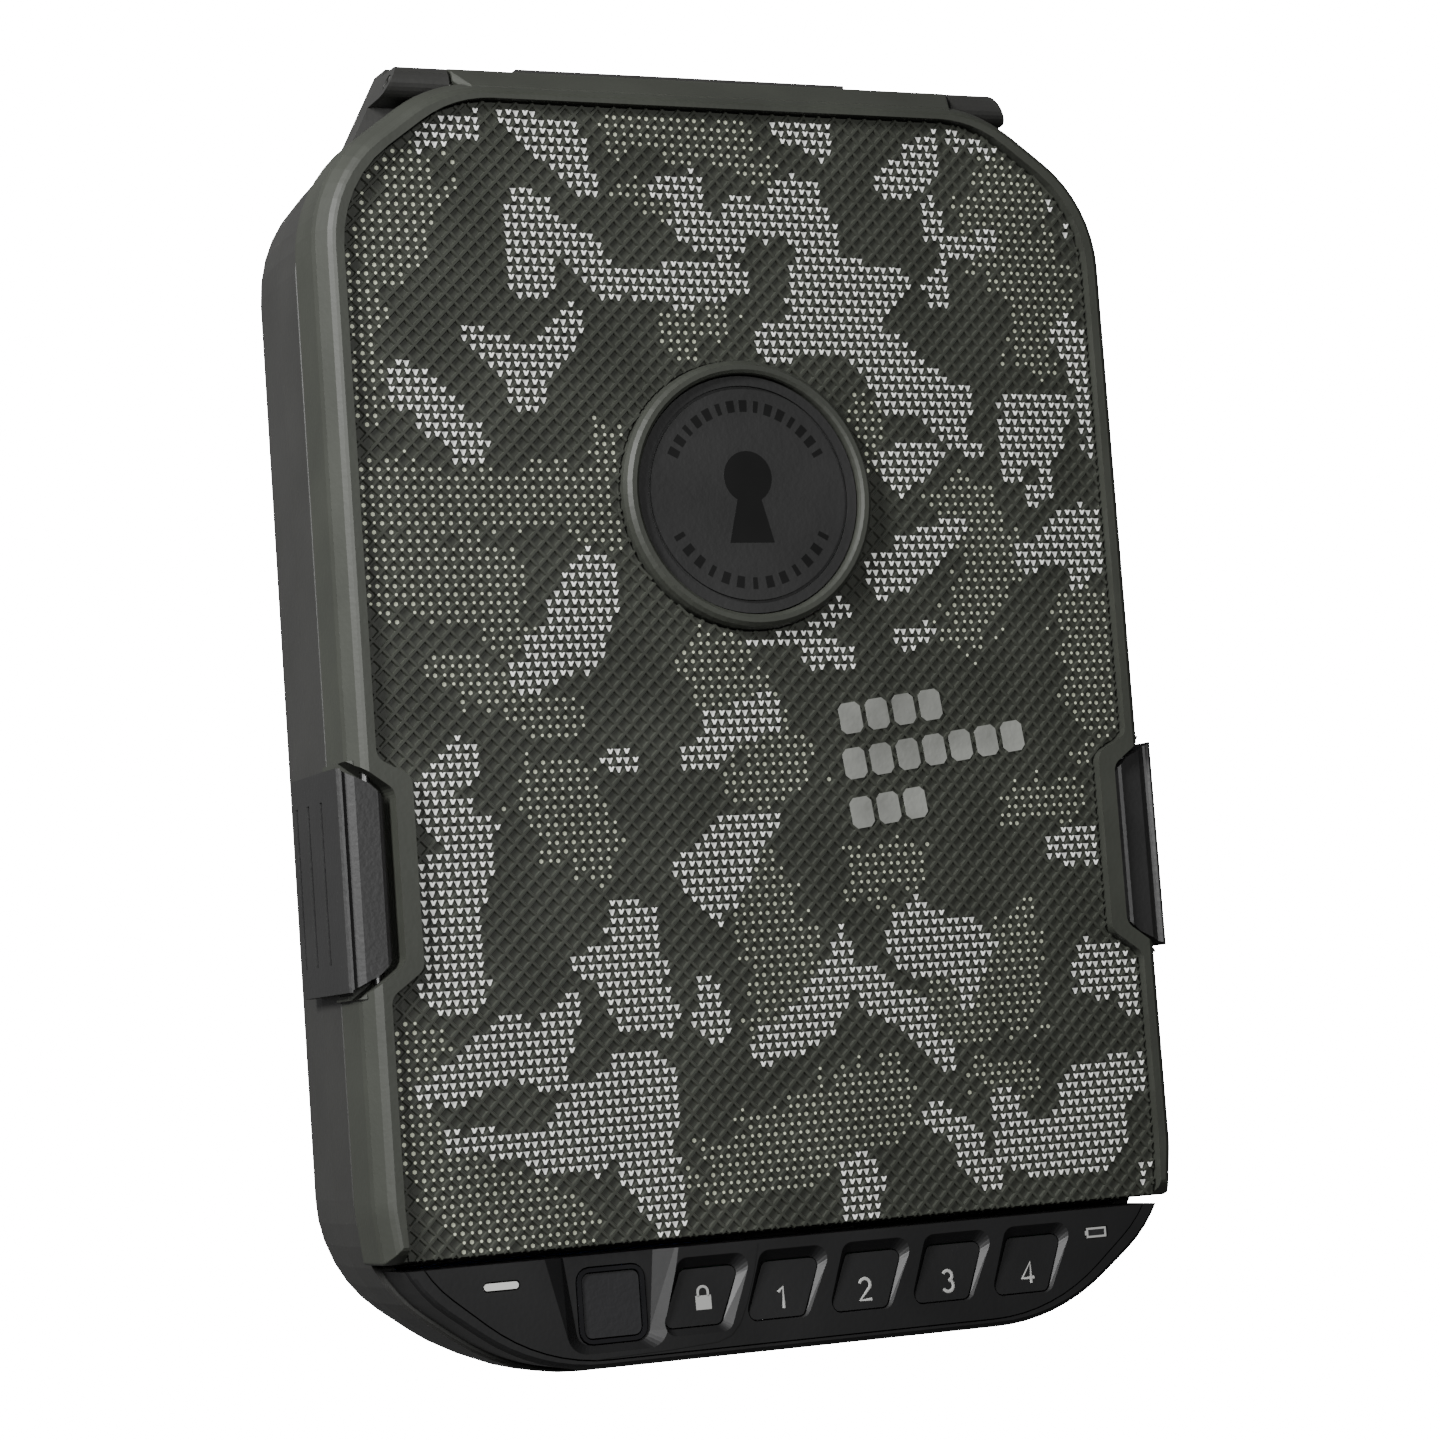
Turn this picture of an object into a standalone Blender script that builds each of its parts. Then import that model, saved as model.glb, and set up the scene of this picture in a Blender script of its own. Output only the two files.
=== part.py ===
"""Portable gun safe: a two-shell case with a rear hinge, side latches and a keypad at the front.

All lengths below are in millimetres and are scaled to metres when a mesh is made.
X is to the right, +Y points to the hinge and +Z points up out of the lid.
The origin is at the centre of the safe's footprint, at the underside of its feet.
"""
import math

import bmesh
import bpy
from mathutils import Vector

MM = 0.001
GAP = 0.3                      # clearance between neighbouring pieces

# Overall shape
HALF_WIDTH = 89.0              # base wall, from the centre plane
LID_HALF_WIDTH = 89.3
FRONT_Y = -133.3
REAR_Y = 132.0
REAR_BLOCK_Y = 133.3
FOOT_HEIGHT = 2.0
PARTING_Z = 39.5               # where the lid meets the base
CREASE_Z = 27.5                # soft crease along the base wall
PANEL_Z = 53.5                 # face of the textured panel and of the keypad
RIM_Z = 55.5                   # highest edge of the lid rim
LID_FRONT_Y = -108.5
LID_REAR_Y = 126.0
CORNER_SLOPE = 0.74            # rise over run of the cut corners, in plan

# Walls and pockets
WALL = 3.5
LID_WALL = 2.6
FLOOR_Z = 5.0
STORAGE_HALF_WIDTH = 83.2
STORAGE_FRONT_Y = -91.5
STORAGE_REAR_Y = 118.0
BAY_REAR_Y = -96.0
LID_CEILING_Z = 50.0
PANEL_SEAT_Z = 51.7
PANEL_HALF_WIDTH = 84.3
PANEL_STEP_X = 77.2              # where the panel steps inward around a latch

# Hinge
HINGE_Y = 126.7
HINGE_Z = 46.0
KNUCKLE_RADIUS = 3.2
KNUCKLE_X = 57.5
HINGE_PIN_RADIUS = 1.25
EAR_REAR_X = 67.3                # outer end of a base hinge ear at its rear edge
EAR_RUN = 0.524                  # how far the end of an ear comes in for each mm rearward
EAR_REAR_Y = 131.4
EAR_BOTTOM_Z = 32.3

# Side latches
LATCH_FRONT_Y = -55.8
LATCH_REAR_Y = -12.3
LATCH_OUTER_X = 92.0
LATCH_INNER_X = 82.6
LATCH_BOTTOM_Z = 24.5
LATCH_TOP_Z = 53.4
LATCH_PIVOT_X = 85.4
LATCH_PIVOT_Z = 51.0
LATCH_PIN_RADIUS = 0.8
LATCH_GROOVES_Z = (42.8, 34.9, 27.8)
NOTCH_INNER_X = 80.9
NOTCH_FLOOR_Z = 47.2
NOTCH_SLOPE = 0.72               # rise over run of the notch ends, in plan
LATCH_CENTRE_Y = (LATCH_FRONT_Y + LATCH_REAR_Y) / 2

# Badge
BADGE_Y = 41.1
BADGE_RING_INNER = 24.9
BADGE_RING_OUTER = 27.9
BADGE_RING_TOP_Z = 56.6

# Keypad
KEYPAD_REAR_Y = -110.0
KEYPAD_TOP_Z = 53.3
PLATE_BOTTOM_Z = 50.5
KEY_REAR_Y = -114.4
KEY_FRONT_Y = -125.9
KEY_WIDTH = 13.0
KEY_LEAN = 5.0                 # how far a key's front edge stands to the left of its rear edge
KEY_DIP = 1.5                  # depth of the rear edge of a key under the keypad face
KEY_FRONT_DIP = 0.15           # the same at the front edge, where the pocket fades out
LOCK_FRONT_DIP = 0.9           # the lock key's pocket has a wall on all four sides
POCKET_REAR = 2.3              # how far a pocket's sloping walls reach beyond the key
POCKET_RIGHT = 2.5
POCKET_LEFT = 0.8
POCKET_RADIUS = 2.6
KEY_LEFT_X = {"lock": -26.3, "1": -8.2, "2": 10.5, "3": 29.2, "4": 47.9}
BOARD_TOP_Z = 44.4
BOARD_THICKNESS = 1.4
SENSOR_X = -41.3
SENSOR_Y = -119.9
SENSOR_WIDTH = 12.7
SENSOR_LENGTH = 13.2
SENSOR_BAY_DEPTH = 1.5
BEZEL_WIDTH = 0.8

# Lock
LOCK_COVER_Z = 37.1            # underside of the cover over the lock bay
BOLT_Z = 31.0
STRIKER_Y = -101.8
KEY_CYLINDER_X = 24.0
KEY_CYLINDER_Z = 18.0
PORT_X = -32.0
PORT_Z = 20.0
BATTERY_RADIUS = 9.2
BATTERY_LENGTH = 65.0
BATTERY_X = -38.5
BATTERY_Y = -107.0
BATTERY_Z = 16.4

OLIVE = (0.060, 0.064, 0.050)
BLACK = (0.012, 0.012, 0.013)
FOAM = (0.030, 0.030, 0.032)
RUBBER = (0.020, 0.020, 0.021)
STEEL = (0.62, 0.62, 0.60)
BOARD_GREEN = (0.020, 0.110, 0.050)
WHITE = (0.80, 0.80, 0.78)
BRASS = (0.72, 0.55, 0.24)


# ---------------------------------------------------------------- helpers

def clear_scene():
    for obj in list(bpy.data.objects):
        bpy.data.objects.remove(obj, do_unlink=True)


def mirrored(corners):
    """The right half's corners, front to rear, followed by their mirror images rear to front."""
    return corners + [(-x, y, r) for x, y, r in reversed(corners)]


def inset_corners(corners, inset):
    """Move every side of an outline inward by inset and adjust the corner radii."""
    count = len(corners)
    moved = []
    for i, (x, y, radius) in enumerate(corners):
        before = Vector(corners[i - 1][:2])
        here = Vector((x, y))
        after = Vector(corners[(i + 1) % count][:2])
        side_in = (here - before).normalized()
        side_out = (after - here).normalized()
        normal_in = Vector((-side_in.y, side_in.x))
        normal_out = Vector((-side_out.y, side_out.x))
        turn = side_in.x * side_out.y - side_in.y * side_out.x
        bisector = normal_in + normal_out
        shift = bisector * (inset / (1.0 + normal_in.dot(normal_out)))
        new_radius = radius - inset if turn > 0 else radius + inset
        moved.append((here.x + shift.x, here.y + shift.y, max(new_radius, 0.2)))
    return moved


def outline(corners, inset=0.0, segments=6):
    """Points of a closed outline whose corners are rounded, counter-clockwise."""
    corners = inset_corners(corners, inset)
    count = len(corners)
    points = []
    for i, (x, y, radius) in enumerate(corners):
        here = Vector((x, y))
        to_before = (Vector(corners[i - 1][:2]) - here).normalized()
        to_after = (Vector(corners[(i + 1) % count][:2]) - here).normalized()
        half = to_before.angle(to_after) / 2
        reach = radius / math.tan(half)
        centre = here + (to_before + to_after).normalized() * (radius / math.sin(half))
        start = here + to_before * reach - centre
        sweep = math.pi - 2 * half
        if to_before.x * to_after.y - to_before.y * to_after.x > 0:
            sweep = -sweep
        for step in range(segments + 1):
            angle = sweep * step / segments
            turned = Vector((start.x * math.cos(angle) - start.y * math.sin(angle),
                             start.x * math.sin(angle) + start.y * math.cos(angle)))
            points.append((centre.x + turned.x, centre.y + turned.y))
    return points


def level(points, z):
    return [(x, y, z) for x, y in points]


def make_object(name, verts, faces, cutter=False):
    mesh = bpy.data.meshes.new(name)
    mesh.from_pydata([Vector(v) * MM for v in verts], [], faces)
    work = bmesh.new()
    work.from_mesh(mesh)
    bmesh.ops.recalc_face_normals(work, faces=work.faces)
    work.to_mesh(mesh)
    work.free()
    obj = bpy.data.objects.new(name, mesh)
    bpy.context.scene.collection.objects.link(obj)
    if cutter:
        obj.hide_render = True
        obj.display_type = "WIRE"
    return obj


def loft(name, loops, cutter=False):
    """A closed solid through loops that have the same number of points."""
    count = len(loops[0])
    verts = [point for loop in loops for point in loop]
    faces = [tuple(reversed(range(count)))]
    for row in range(len(loops) - 1):
        for i in range(count):
            j = (i + 1) % count
            low, high = row * count, (row + 1) * count
            faces.append((low + i, low + j, high + j, high + i))
    last = (len(loops) - 1) * count
    faces.append(tuple(range(last, last + count)))
    return make_object(name, verts, faces, cutter)


def prism(name, points, low_z, high_z, cutter=False):
    return loft(name, [level(points, low_z), level(points, high_z)], cutter)


def box(name, low, high, cutter=False):
    plan = [(low[0], low[1]), (high[0], low[1]), (high[0], high[1]), (low[0], high[1])]
    return prism(name, plan, low[2], high[2], cutter)


def rod(name, axis, start, end, radius, sides=24, cutter=False, end_radius=None):
    """A round bar along X, Y or Z from start to end, given as points on its axis."""
    loops = []
    for centre, size in ((start, radius), (end, end_radius or radius)):
        ring = []
        for i in range(sides):
            a = 2 * math.pi * i / sides
            c, s = size * math.cos(a), size * math.sin(a)
            offset = {"X": (0, c, s), "Y": (s, 0, c), "Z": (c, s, 0)}[axis]
            ring.append(tuple(centre[k] + offset[k] for k in range(3)))
        loops.append(ring)
    return loft(name, loops, cutter)


def turned(name, centre_xy, profile, sides=48, cutter=False):
    """A closed ring about a vertical axis, from a closed profile of (radius, z) points."""
    verts, faces = [], []
    rows = len(profile)
    for i in range(sides):
        a = 2 * math.pi * i / sides
        for radius, z in profile:
            verts.append((centre_xy[0] + radius * math.cos(a), centre_xy[1] + radius * math.sin(a), z))
    for i in range(sides):
        for k in range(rows):
            j, m = (i + 1) % sides, (k + 1) % rows
            faces.append((i * rows + k, j * rows + k, j * rows + m, i * rows + m))
    return make_object(name, verts, faces, cutter)


def hull(name, points, cutter=False):
    """The convex solid around a set of points."""
    work = bmesh.new()
    for point in points:
        work.verts.new(Vector(point) * MM)
    bmesh.ops.convex_hull(work, input=work.verts)
    bmesh.ops.dissolve_limit(work, angle_limit=math.radians(0.5), verts=work.verts, edges=work.edges)
    bmesh.ops.recalc_face_normals(work, faces=work.faces)
    mesh = bpy.data.meshes.new(name)
    work.to_mesh(mesh)
    work.free()
    obj = bpy.data.objects.new(name, mesh)
    bpy.context.scene.collection.objects.link(obj)
    if cutter:
        obj.hide_render = True
        obj.display_type = "WIRE"
    return obj


def combine(obj, other, operation):
    other.hide_render = True
    other.display_type = "WIRE"
    modifier = obj.modifiers.new(f"{operation.lower()} {other.name}", "BOOLEAN")
    modifier.operation = operation
    modifier.object = other
    return obj


def cut(obj, *cutters):
    for cutter in cutters:
        combine(obj, cutter, "DIFFERENCE")
    return obj


def add(obj, *others):
    for other in others:
        combine(obj, other, "UNION")
    return obj


def finish(obj, material_name, colour, roughness, metallic=0.0, origin=None):
    """Give a piece its material, smooth its round stretches and set its origin."""
    material = bpy.data.materials.get(material_name)
    if material is None:
        material = bpy.data.materials.new(material_name)
        material.use_nodes = True
        shader = material.node_tree.nodes["Principled BSDF"]
        shader.inputs["Base Color"].default_value = (*colour, 1.0)
        shader.inputs["Roughness"].default_value = roughness
        shader.inputs["Metallic"].default_value = metallic
    obj.data.materials.append(material)
    obj.data.shade_smooth()
    obj.data.set_sharp_from_angle(angle=math.radians(32))
    if origin is not None:
        point = Vector(origin) * MM
        for vert in obj.data.vertices:
            vert.co -= point
        obj.location = point
    return obj


# ---------------------------------------------------------------- outlines in plan

def base_corners():
    """Outline of the base, with cut and rounded corners."""
    front_run = 30.2
    rear_run = 38.0
    return mirrored([
        (HALF_WIDTH - front_run, FRONT_Y, 45.0),
        (HALF_WIDTH, FRONT_Y + front_run * CORNER_SLOPE, 30.0),
        (HALF_WIDTH, REAR_Y - rear_run * CORNER_SLOPE, 30.0),
        (HALF_WIDTH - rear_run, REAR_Y, 12.0),
    ])


def lid_corners():
    """Outline of the lid: a straight front edge and wide cut rear corners."""
    rear_run = 27.3
    return mirrored([
        (LID_HALF_WIDTH - 1.3, LID_FRONT_Y, 0.8),
        (LID_HALF_WIDTH, -98.0, 30.0),
        (LID_HALF_WIDTH, LID_REAR_Y - rear_run * CORNER_SLOPE, 30.0),
        (LID_HALF_WIDTH - rear_run, LID_REAR_Y, 30.0),
    ])


def panel_corners(front_y):
    """Outline of the textured panel, with a step inward around each latch."""
    rear_run = 25.0
    side_x = PANEL_HALF_WIDTH
    rear_y = LID_REAR_Y - 4.2
    right = [(side_x - 0.8, front_y, 0.4), (side_x, -98.0, 24.0)]
    right += [(side_x, LATCH_FRONT_Y - 1.5, 3.0), (PANEL_STEP_X, LATCH_FRONT_Y + 3.6, 3.0)]
    right += [(PANEL_STEP_X, LATCH_REAR_Y - 2.2, 3.0), (side_x, LATCH_REAR_Y + 1.5, 3.0)]
    right += [(side_x, rear_y - rear_run * CORNER_SLOPE, 26.0), (side_x - rear_run, rear_y, 26.0)]
    return mirrored(right)


def storage_corners():
    return mirrored([
        (STORAGE_HALF_WIDTH, STORAGE_FRONT_Y, 6.0),
        (STORAGE_HALF_WIDTH, STORAGE_REAR_Y - 24.0, 18.0),
        (STORAGE_HALF_WIDTH - 24.0, STORAGE_REAR_Y, 18.0),
    ])


def gasket_corners():
    return mirrored([
        (85.4, LID_FRONT_Y + 3.0, 3.0),
        (85.4, 97.0, 20.0),
        (62.0, 121.3, 20.0),
    ])


def key_corners(left_x, margin):
    """Plan of a key: a leaning four-sided shape with round corners."""
    right_x = left_x + KEY_WIDTH
    return [
        (left_x - KEY_LEAN - margin, KEY_FRONT_Y - margin, 1.6 + margin),
        (right_x - KEY_LEAN + margin, KEY_FRONT_Y - margin, 1.6 + margin),
        (right_x + margin, KEY_REAR_Y + margin, 1.6 + margin),
        (left_x - margin, KEY_REAR_Y + margin, 1.6 + margin),
    ]


# ---------------------------------------------------------------- base

def make_base_shell():
    """Moulded base: draughted wall, big lower fillet, storage well and electronics bay."""
    corners = base_corners()
    rim_z = PARTING_Z - GAP
    profile = [(14.0, FOOT_HEIGHT), (9.0, 2.5), (5.2, 4.4), (2.6, 7.6), (1.3, 12.0),
               (0.7, 18.0), (0.0, CREASE_Z), (0.0, rim_z - 0.5), (0.5, rim_z)]
    shell = loft("base_shell", [level(outline(corners, inset), z) for inset, z in profile])
    add(shell, box("rear block", (-38, 120, 9), (38, REAR_BLOCK_Y, 37.5)))
    for side in (-1, 1):
        add(shell, make_ear_bracket(side), make_base_knuckle(side))
    storage = storage_corners()
    well = [(6.0, FLOOR_Z), (2.0, FLOOR_Z + 1.4), (0.0, FLOOR_Z + 6.0), (0.0, PARTING_Z + 2)]
    cut(shell, loft("storage well", [level(outline(storage, inset), z) for inset, z in well], True))
    cut(shell, make_bay_cutter())
    for side in (-1, 1):
        cut(shell, rod(f"base pin hole {side}", "X", (side * 50, HINGE_Y, HINGE_Z),
                       (side * 90, HINGE_Y, HINGE_Z), HINGE_PIN_RADIUS + GAP, 16, True))
    cut(shell, rod("key cylinder hole", "Y", (KEY_CYLINDER_X, -140, KEY_CYLINDER_Z),
                   (KEY_CYLINDER_X, -120, KEY_CYLINDER_Z), 8.0 + GAP, 32, True))
    cut(shell, box("port window", (PORT_X - 5.2, -140, PORT_Z - 2.6),
                   (PORT_X + 5.2, -120, PORT_Z + 2.6), True))
    cut(shell, box("port cover recess", (PORT_X - 9.3, -140, PORT_Z - 6.3),
                   (PORT_X + 9.3, FRONT_Y + 2.0, PORT_Z + 5.8), True))
    for x, y in foot_places():
        cut(shell, rod(f"foot seat {x} {y}", "Z", (x, y, 1), (x, y, FOOT_HEIGHT + 1.0), 7.3, 24, True))
    for x, y in cover_screw_places():
        add(shell, rod(f"cover boss {x}", "Z", (x, y, FLOOR_Z - 1), (x, y, LOCK_COVER_Z - GAP), 4.0, 20))
        cut(shell, rod(f"cover screw hole {x}", "Z", (x, y, 20), (x, y, 60), 1.5 + GAP, 16, True))
    return finish(shell, "olive shell", OLIVE, 0.55)


def ear_end_x(y):
    """Outer end of a hinge ear at a given depth."""
    return EAR_REAR_X + (EAR_REAR_Y - y) * EAR_RUN


def make_ear_bracket(side):
    """Carries a hinge knuckle out over the cut corner of the base."""
    top_z = PARTING_Z - GAP
    front_y, inner_x = 106.0, 52.0
    plan = [(ear_end_x(front_y), front_y), (ear_end_x(EAR_REAR_Y), EAR_REAR_Y), (inner_x, EAR_REAR_Y),
            (inner_x, 121.0), (68.0, front_y)]
    solid = [(side * x, y, z) for x, y in plan for z in (EAR_BOTTOM_Z, top_z)]
    foot = [(74.0, 108.0), (66.0, 118.0), (inner_x, 126.0), (inner_x, 121.0), (68.0, front_y)]
    solid += [(side * x, y, 14.0) for x, y in foot]
    return hull(f"ear bracket {side}", solid)


def make_base_knuckle(side):
    """One hinge knuckle on its foot, with a slanted outer end."""
    points = []
    for step in range(13):
        a = math.pi * step / 12
        points.append((HINGE_Y + KNUCKLE_RADIUS * math.cos(a), HINGE_Z + KNUCKLE_RADIUS * math.sin(a)))
    points += [(HINGE_Y - KNUCKLE_RADIUS - 0.4, PARTING_Z - 3), (HINGE_Y + KNUCKLE_RADIUS, PARTING_Z - 3)]
    solid = []
    for y, z in points:
        outer_x = ear_end_x(y)
        solid += [(side * KNUCKLE_X, y, z), (side * outer_x, y, z)]
    return hull(f"base knuckle {side}", solid)


def make_bay_cutter():
    """Room for the lock and the electronics, in front of the storage well."""
    corners = base_corners()
    rows = [(12.5, FLOOR_Z), (7.0, FLOOR_Z + 2.2), (5.0, FLOOR_Z + 7.0), (WALL, 26.0),
            (WALL, PARTING_Z + 2)]
    bay = loft("electronics bay", [level(outline(corners, inset), z) for inset, z in rows], True)
    return cut(bay, box("storage side of the bulkhead", (-100, BAY_REAR_Y, 0), (100, 150, 70), True))


def foot_places():
    return [(side * 62.0, y) for side in (-1, 1) for y in (-98.0, 96.0)]


def make_feet():
    for x, y in foot_places():
        name = "foot_" + ("front" if y < 0 else "rear") + ("_left" if x < 0 else "_right")
        foot = rod(name, "Z", (x, y, 0), (x, y, FOOT_HEIGHT + 0.7), 6.4, 24, end_radius=7.0)
        finish(foot, "rubber", RUBBER, 0.9)


def make_gasket():
    low, high = PARTING_Z - GAP + 0.2, PARTING_Z + 2.2
    ring = prism("rim_gasket", outline(gasket_corners(), 0.0), low, high)
    cut(ring, prism("gasket middle", outline(gasket_corners(), 1.6), low - 1, high + 1, True))
    return finish(ring, "rubber", RUBBER, 0.9)


def make_base_foam():
    storage = storage_corners()
    rows = [(7.5, FLOOR_Z + GAP), (3.4, FLOOR_Z + 1.9), (0.8, FLOOR_Z + 7.0), (0.8, FLOOR_Z + 9.0)]
    foam = loft("base_foam", [level(outline(storage, inset), z) for inset, z in rows])
    return finish(foam, "foam", FOAM, 0.95)


def make_hinge_pins():
    for side, word in ((-1, "left"), (1, "right")):
        pin = rod(f"hinge_pin_{word}", "X", (side * 50.5, HINGE_Y, HINGE_Z),
                  (side * 69.0, HINGE_Y, HINGE_Z), HINGE_PIN_RADIUS, 16)
        finish(pin, "steel", STEEL, 0.35, 1.0)


def cover_screw_places():
    return [(side * 76.0, -100.2) for side in (-1, 1)]


def make_lock_cover():
    """Lid over the lock bay, with a slot for the striker and two screws."""
    top = LOCK_COVER_Z + 2.0
    plan = mirrored([(81.8, LID_FRONT_Y - 1.0, 1.5), (83.0, BAY_REAR_Y - GAP, 0.5)])
    cover = prism("lock_cover", outline(plan, 0.0, 4), LOCK_COVER_Z, top)
    cut(cover, box("striker slot", (-8.0, STRIKER_Y - 3.2, top - 4), (8.0, STRIKER_Y + 3.2, top + 2), True))
    for x, y in cover_screw_places():
        cut(cover, rod(f"cover clearance {x}", "Z", (x, y, 30), (x, y, 50), 1.5 + GAP, 16, True))
        word = "left" if x < 0 else "right"
        screw = rod(f"cover_screw_{word}", "Z", (x, y, top + GAP), (x, y, top + 1.7), 3.0, 20)
        add(screw, rod(f"cover screw shank {x}", "Z", (x, y, 24), (x, y, top + 1.0), 1.5, 16))
        cut(screw, box(f"cover screw slot {word}", (x - 2.0, y - 0.5, top + 0.9),
                       (x + 2.0, y + 0.5, top + 3), True))
        finish(screw, "steel", STEEL, 0.35, 1.0)
    return finish(cover, "black plastic", BLACK, 0.5)


# ---------------------------------------------------------------- keypad

def behind_keypad(name, y):
    return box(name, (-100, y, 30), (100, 150, 70), True)


def make_keypad_housing():
    """Black surround that stands on the front of the base."""
    corners = base_corners()
    rows = [(1.1, PARTING_Z), (1.1, KEYPAD_TOP_Z - 1.0), (1.5, KEYPAD_TOP_Z - 0.3), (2.1, KEYPAD_TOP_Z)]
    housing = loft("keypad_housing", [level(outline(corners, inset, 8), z) for inset, z in rows])
    cut(housing, behind_keypad("space behind the keypad", KEYPAD_REAR_Y))
    seat = prism("plate seat", plate_outline(0.0), PLATE_BOTTOM_Z - GAP, KEYPAD_TOP_Z + 2, True)
    cut(housing, seat)
    hollow = prism("housing hollow", outline(corners, 5.2), PARTING_Z - 2, KEYPAD_TOP_Z + 3, True)
    cut(hollow, behind_keypad("housing rear wall", KEYPAD_REAR_Y - 2.2))
    cut(housing, hollow)
    return finish(housing, "black plastic", BLACK, 0.5)


def plate_outline(inset):
    """Plan of the keypad plate; the seat that holds it runs out past the rear."""
    corners = []
    for x, y, radius in inset_corners(base_corners(), 4.6):
        corners.append((x, y - 2.0 if y < KEYPAD_REAR_Y - 10 else y, radius))
    return outline(corners, inset, 8)


def make_keypad_plate():
    """Face plate with the sensor bay, the sunk keys and two indicator windows."""
    below, above = PLATE_BOTTOM_Z - 1, KEYPAD_TOP_Z + 1
    plate = prism("keypad_plate", plate_outline(GAP), PLATE_BOTTOM_Z, KEYPAD_TOP_Z)
    cut(plate, behind_keypad("plate rear edge", KEYPAD_REAR_Y))
    cut(plate, make_sensor_bay())
    for label, left_x in KEY_LEFT_X.items():
        cut(plate, make_key_pocket(label, left_x))
        opening = outline(key_corners(left_x, GAP / 2), 0.0, 4)
        cut(plate, prism(f"key hole {label}", opening, below, above, True))
    window = outline(sensor_corners(BEZEL_WIDTH + GAP), 0.0, 4)
    cut(plate, prism("sensor window", window, below, above, True))
    cut(plate, prism("status slot", status_outline(0.0), below, above, True))
    cut(plate, prism("battery slot", battery_light_outline(0.0), below, above, True))
    return finish(plate, "black plastic", BLACK, 0.5)


def make_sensor_bay():
    """Tapered hollow with round corners around the fingerprint sensor, open at the rear edge."""
    rear_y, front_y = KEYPAD_REAR_Y + 5.0, -127.4
    floor = [(SENSOR_X - 7.6, front_y, 2.6), (SENSOR_X + 7.6, front_y, 2.6),
             (SENSOR_X + 10.0, rear_y, 0.6), (SENSOR_X - 10.4, rear_y, 0.6)]
    mouth = [(SENSOR_X - 9.6, front_y - 1.7, 4.2), (SENSOR_X + 10.2, front_y - 1.7, 4.2),
             (SENSOR_X + 15.6, rear_y, 0.6), (SENSOR_X - 15.4, rear_y, 0.6)]
    floor_plan, mouth_plan = outline(floor), outline(mouth)
    rows = [level(floor_plan, KEYPAD_TOP_Z - SENSOR_BAY_DEPTH), level(mouth_plan, KEYPAD_TOP_Z),
            level(mouth_plan, KEYPAD_TOP_Z + 1)]
    return loft("sensor bay", rows, True)


def key_front_dip(label):
    return LOCK_FRONT_DIP if label == "lock" else KEY_FRONT_DIP


def key_face(label, plan):
    """Lay a plan on the plane of a key's face, which slopes down to the rear."""
    front_dip = key_front_dip(label)
    slope = (KEY_DIP - front_dip) / (KEY_REAR_Y - KEY_FRONT_Y)
    return [(x, y, KEYPAD_TOP_Z - front_dip - slope * (y - KEY_FRONT_Y)) for x, y in plan]


def make_key_pocket(label, left_x):
    """Hollow around a key: a wide slope at its rear and right, a narrow one at its left."""
    right_x = left_x + KEY_WIDTH
    front_y = KEY_FRONT_Y - (1.5 if label == "lock" else 0.4)
    front_right = right_x - KEY_LEAN + (1.7 if label == "lock" else 0.7)
    mouth = [(left_x - KEY_LEAN - 0.5, front_y, POCKET_RADIUS), (front_right, front_y, POCKET_RADIUS),
             (right_x + POCKET_RIGHT, KEY_REAR_Y + POCKET_REAR, POCKET_RADIUS),
             (left_x - POCKET_LEFT, KEY_REAR_Y + POCKET_REAR, POCKET_RADIUS)]
    floor_plan = outline(key_corners(left_x, GAP / 2), 0.0, 6)
    mouth_plan = outline(mouth, 0.0, 6)
    rows = [key_face(label, floor_plan), level(mouth_plan, KEYPAD_TOP_Z), level(mouth_plan, KEYPAD_TOP_Z + 1)]
    return loft(f"key pocket {label}", rows, True)


def make_keys():
    """Five keys whose faces slope down to the rear; each has a stem over its switch."""
    for label, left_x in KEY_LEFT_X.items():
        plan = outline(key_corners(left_x, -GAP / 2), 0.0, 4)
        cap = loft(f"key_{label}", [level(plan, PLATE_BOTTOM_Z - 0.2), key_face(label, plan)])
        x, y = key_centre(left_x)
        add(cap, rod(f"stem {label}", "Z", (x, y, 48.4), (x, y, 51.0), 2.0, 16))
        finish(cap, "black plastic", BLACK, 0.5, origin=(x, y, PLATE_BOTTOM_Z))
        switch = box(f"switch_{label}", (x - 3, y - 3, BOARD_TOP_Z + GAP), (x + 3, y + 3, 47.2))
        finish(switch, "black plastic", BLACK, 0.5)


def key_centre(left_x):
    return left_x + (KEY_WIDTH - KEY_LEAN) / 2, (KEY_REAR_Y + KEY_FRONT_Y) / 2


def sensor_corners(margin):
    """Plan of the fingerprint sensor, grown by a margin."""
    half_x, half_y = SENSOR_WIDTH / 2 + margin, SENSOR_LENGTH / 2 + margin
    radius = 1.8 + margin
    return [(SENSOR_X - half_x, SENSOR_Y - half_y, radius), (SENSOR_X + half_x, SENSOR_Y - half_y, radius),
            (SENSOR_X + half_x, SENSOR_Y + half_y, radius), (SENSOR_X - half_x, SENSOR_Y + half_y, radius)]


def make_fingerprint_sensor():
    face_z = KEYPAD_TOP_Z - SENSOR_BAY_DEPTH
    bezel = prism("sensor_bezel", outline(sensor_corners(BEZEL_WIDTH), 0.0, 4), 49.0, face_z + 0.35)
    cut(bezel, prism("bezel middle", outline(sensor_corners(0.0), 0.0, 4), 48, face_z + 2, True))
    finish(bezel, "gloss black", BLACK, 0.2)
    sensor = prism("fingerprint_sensor", outline(sensor_corners(-GAP), 0.0, 4), 48.0, face_z - 0.1)
    finish(sensor, "gloss black", BLACK, 0.2)


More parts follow.
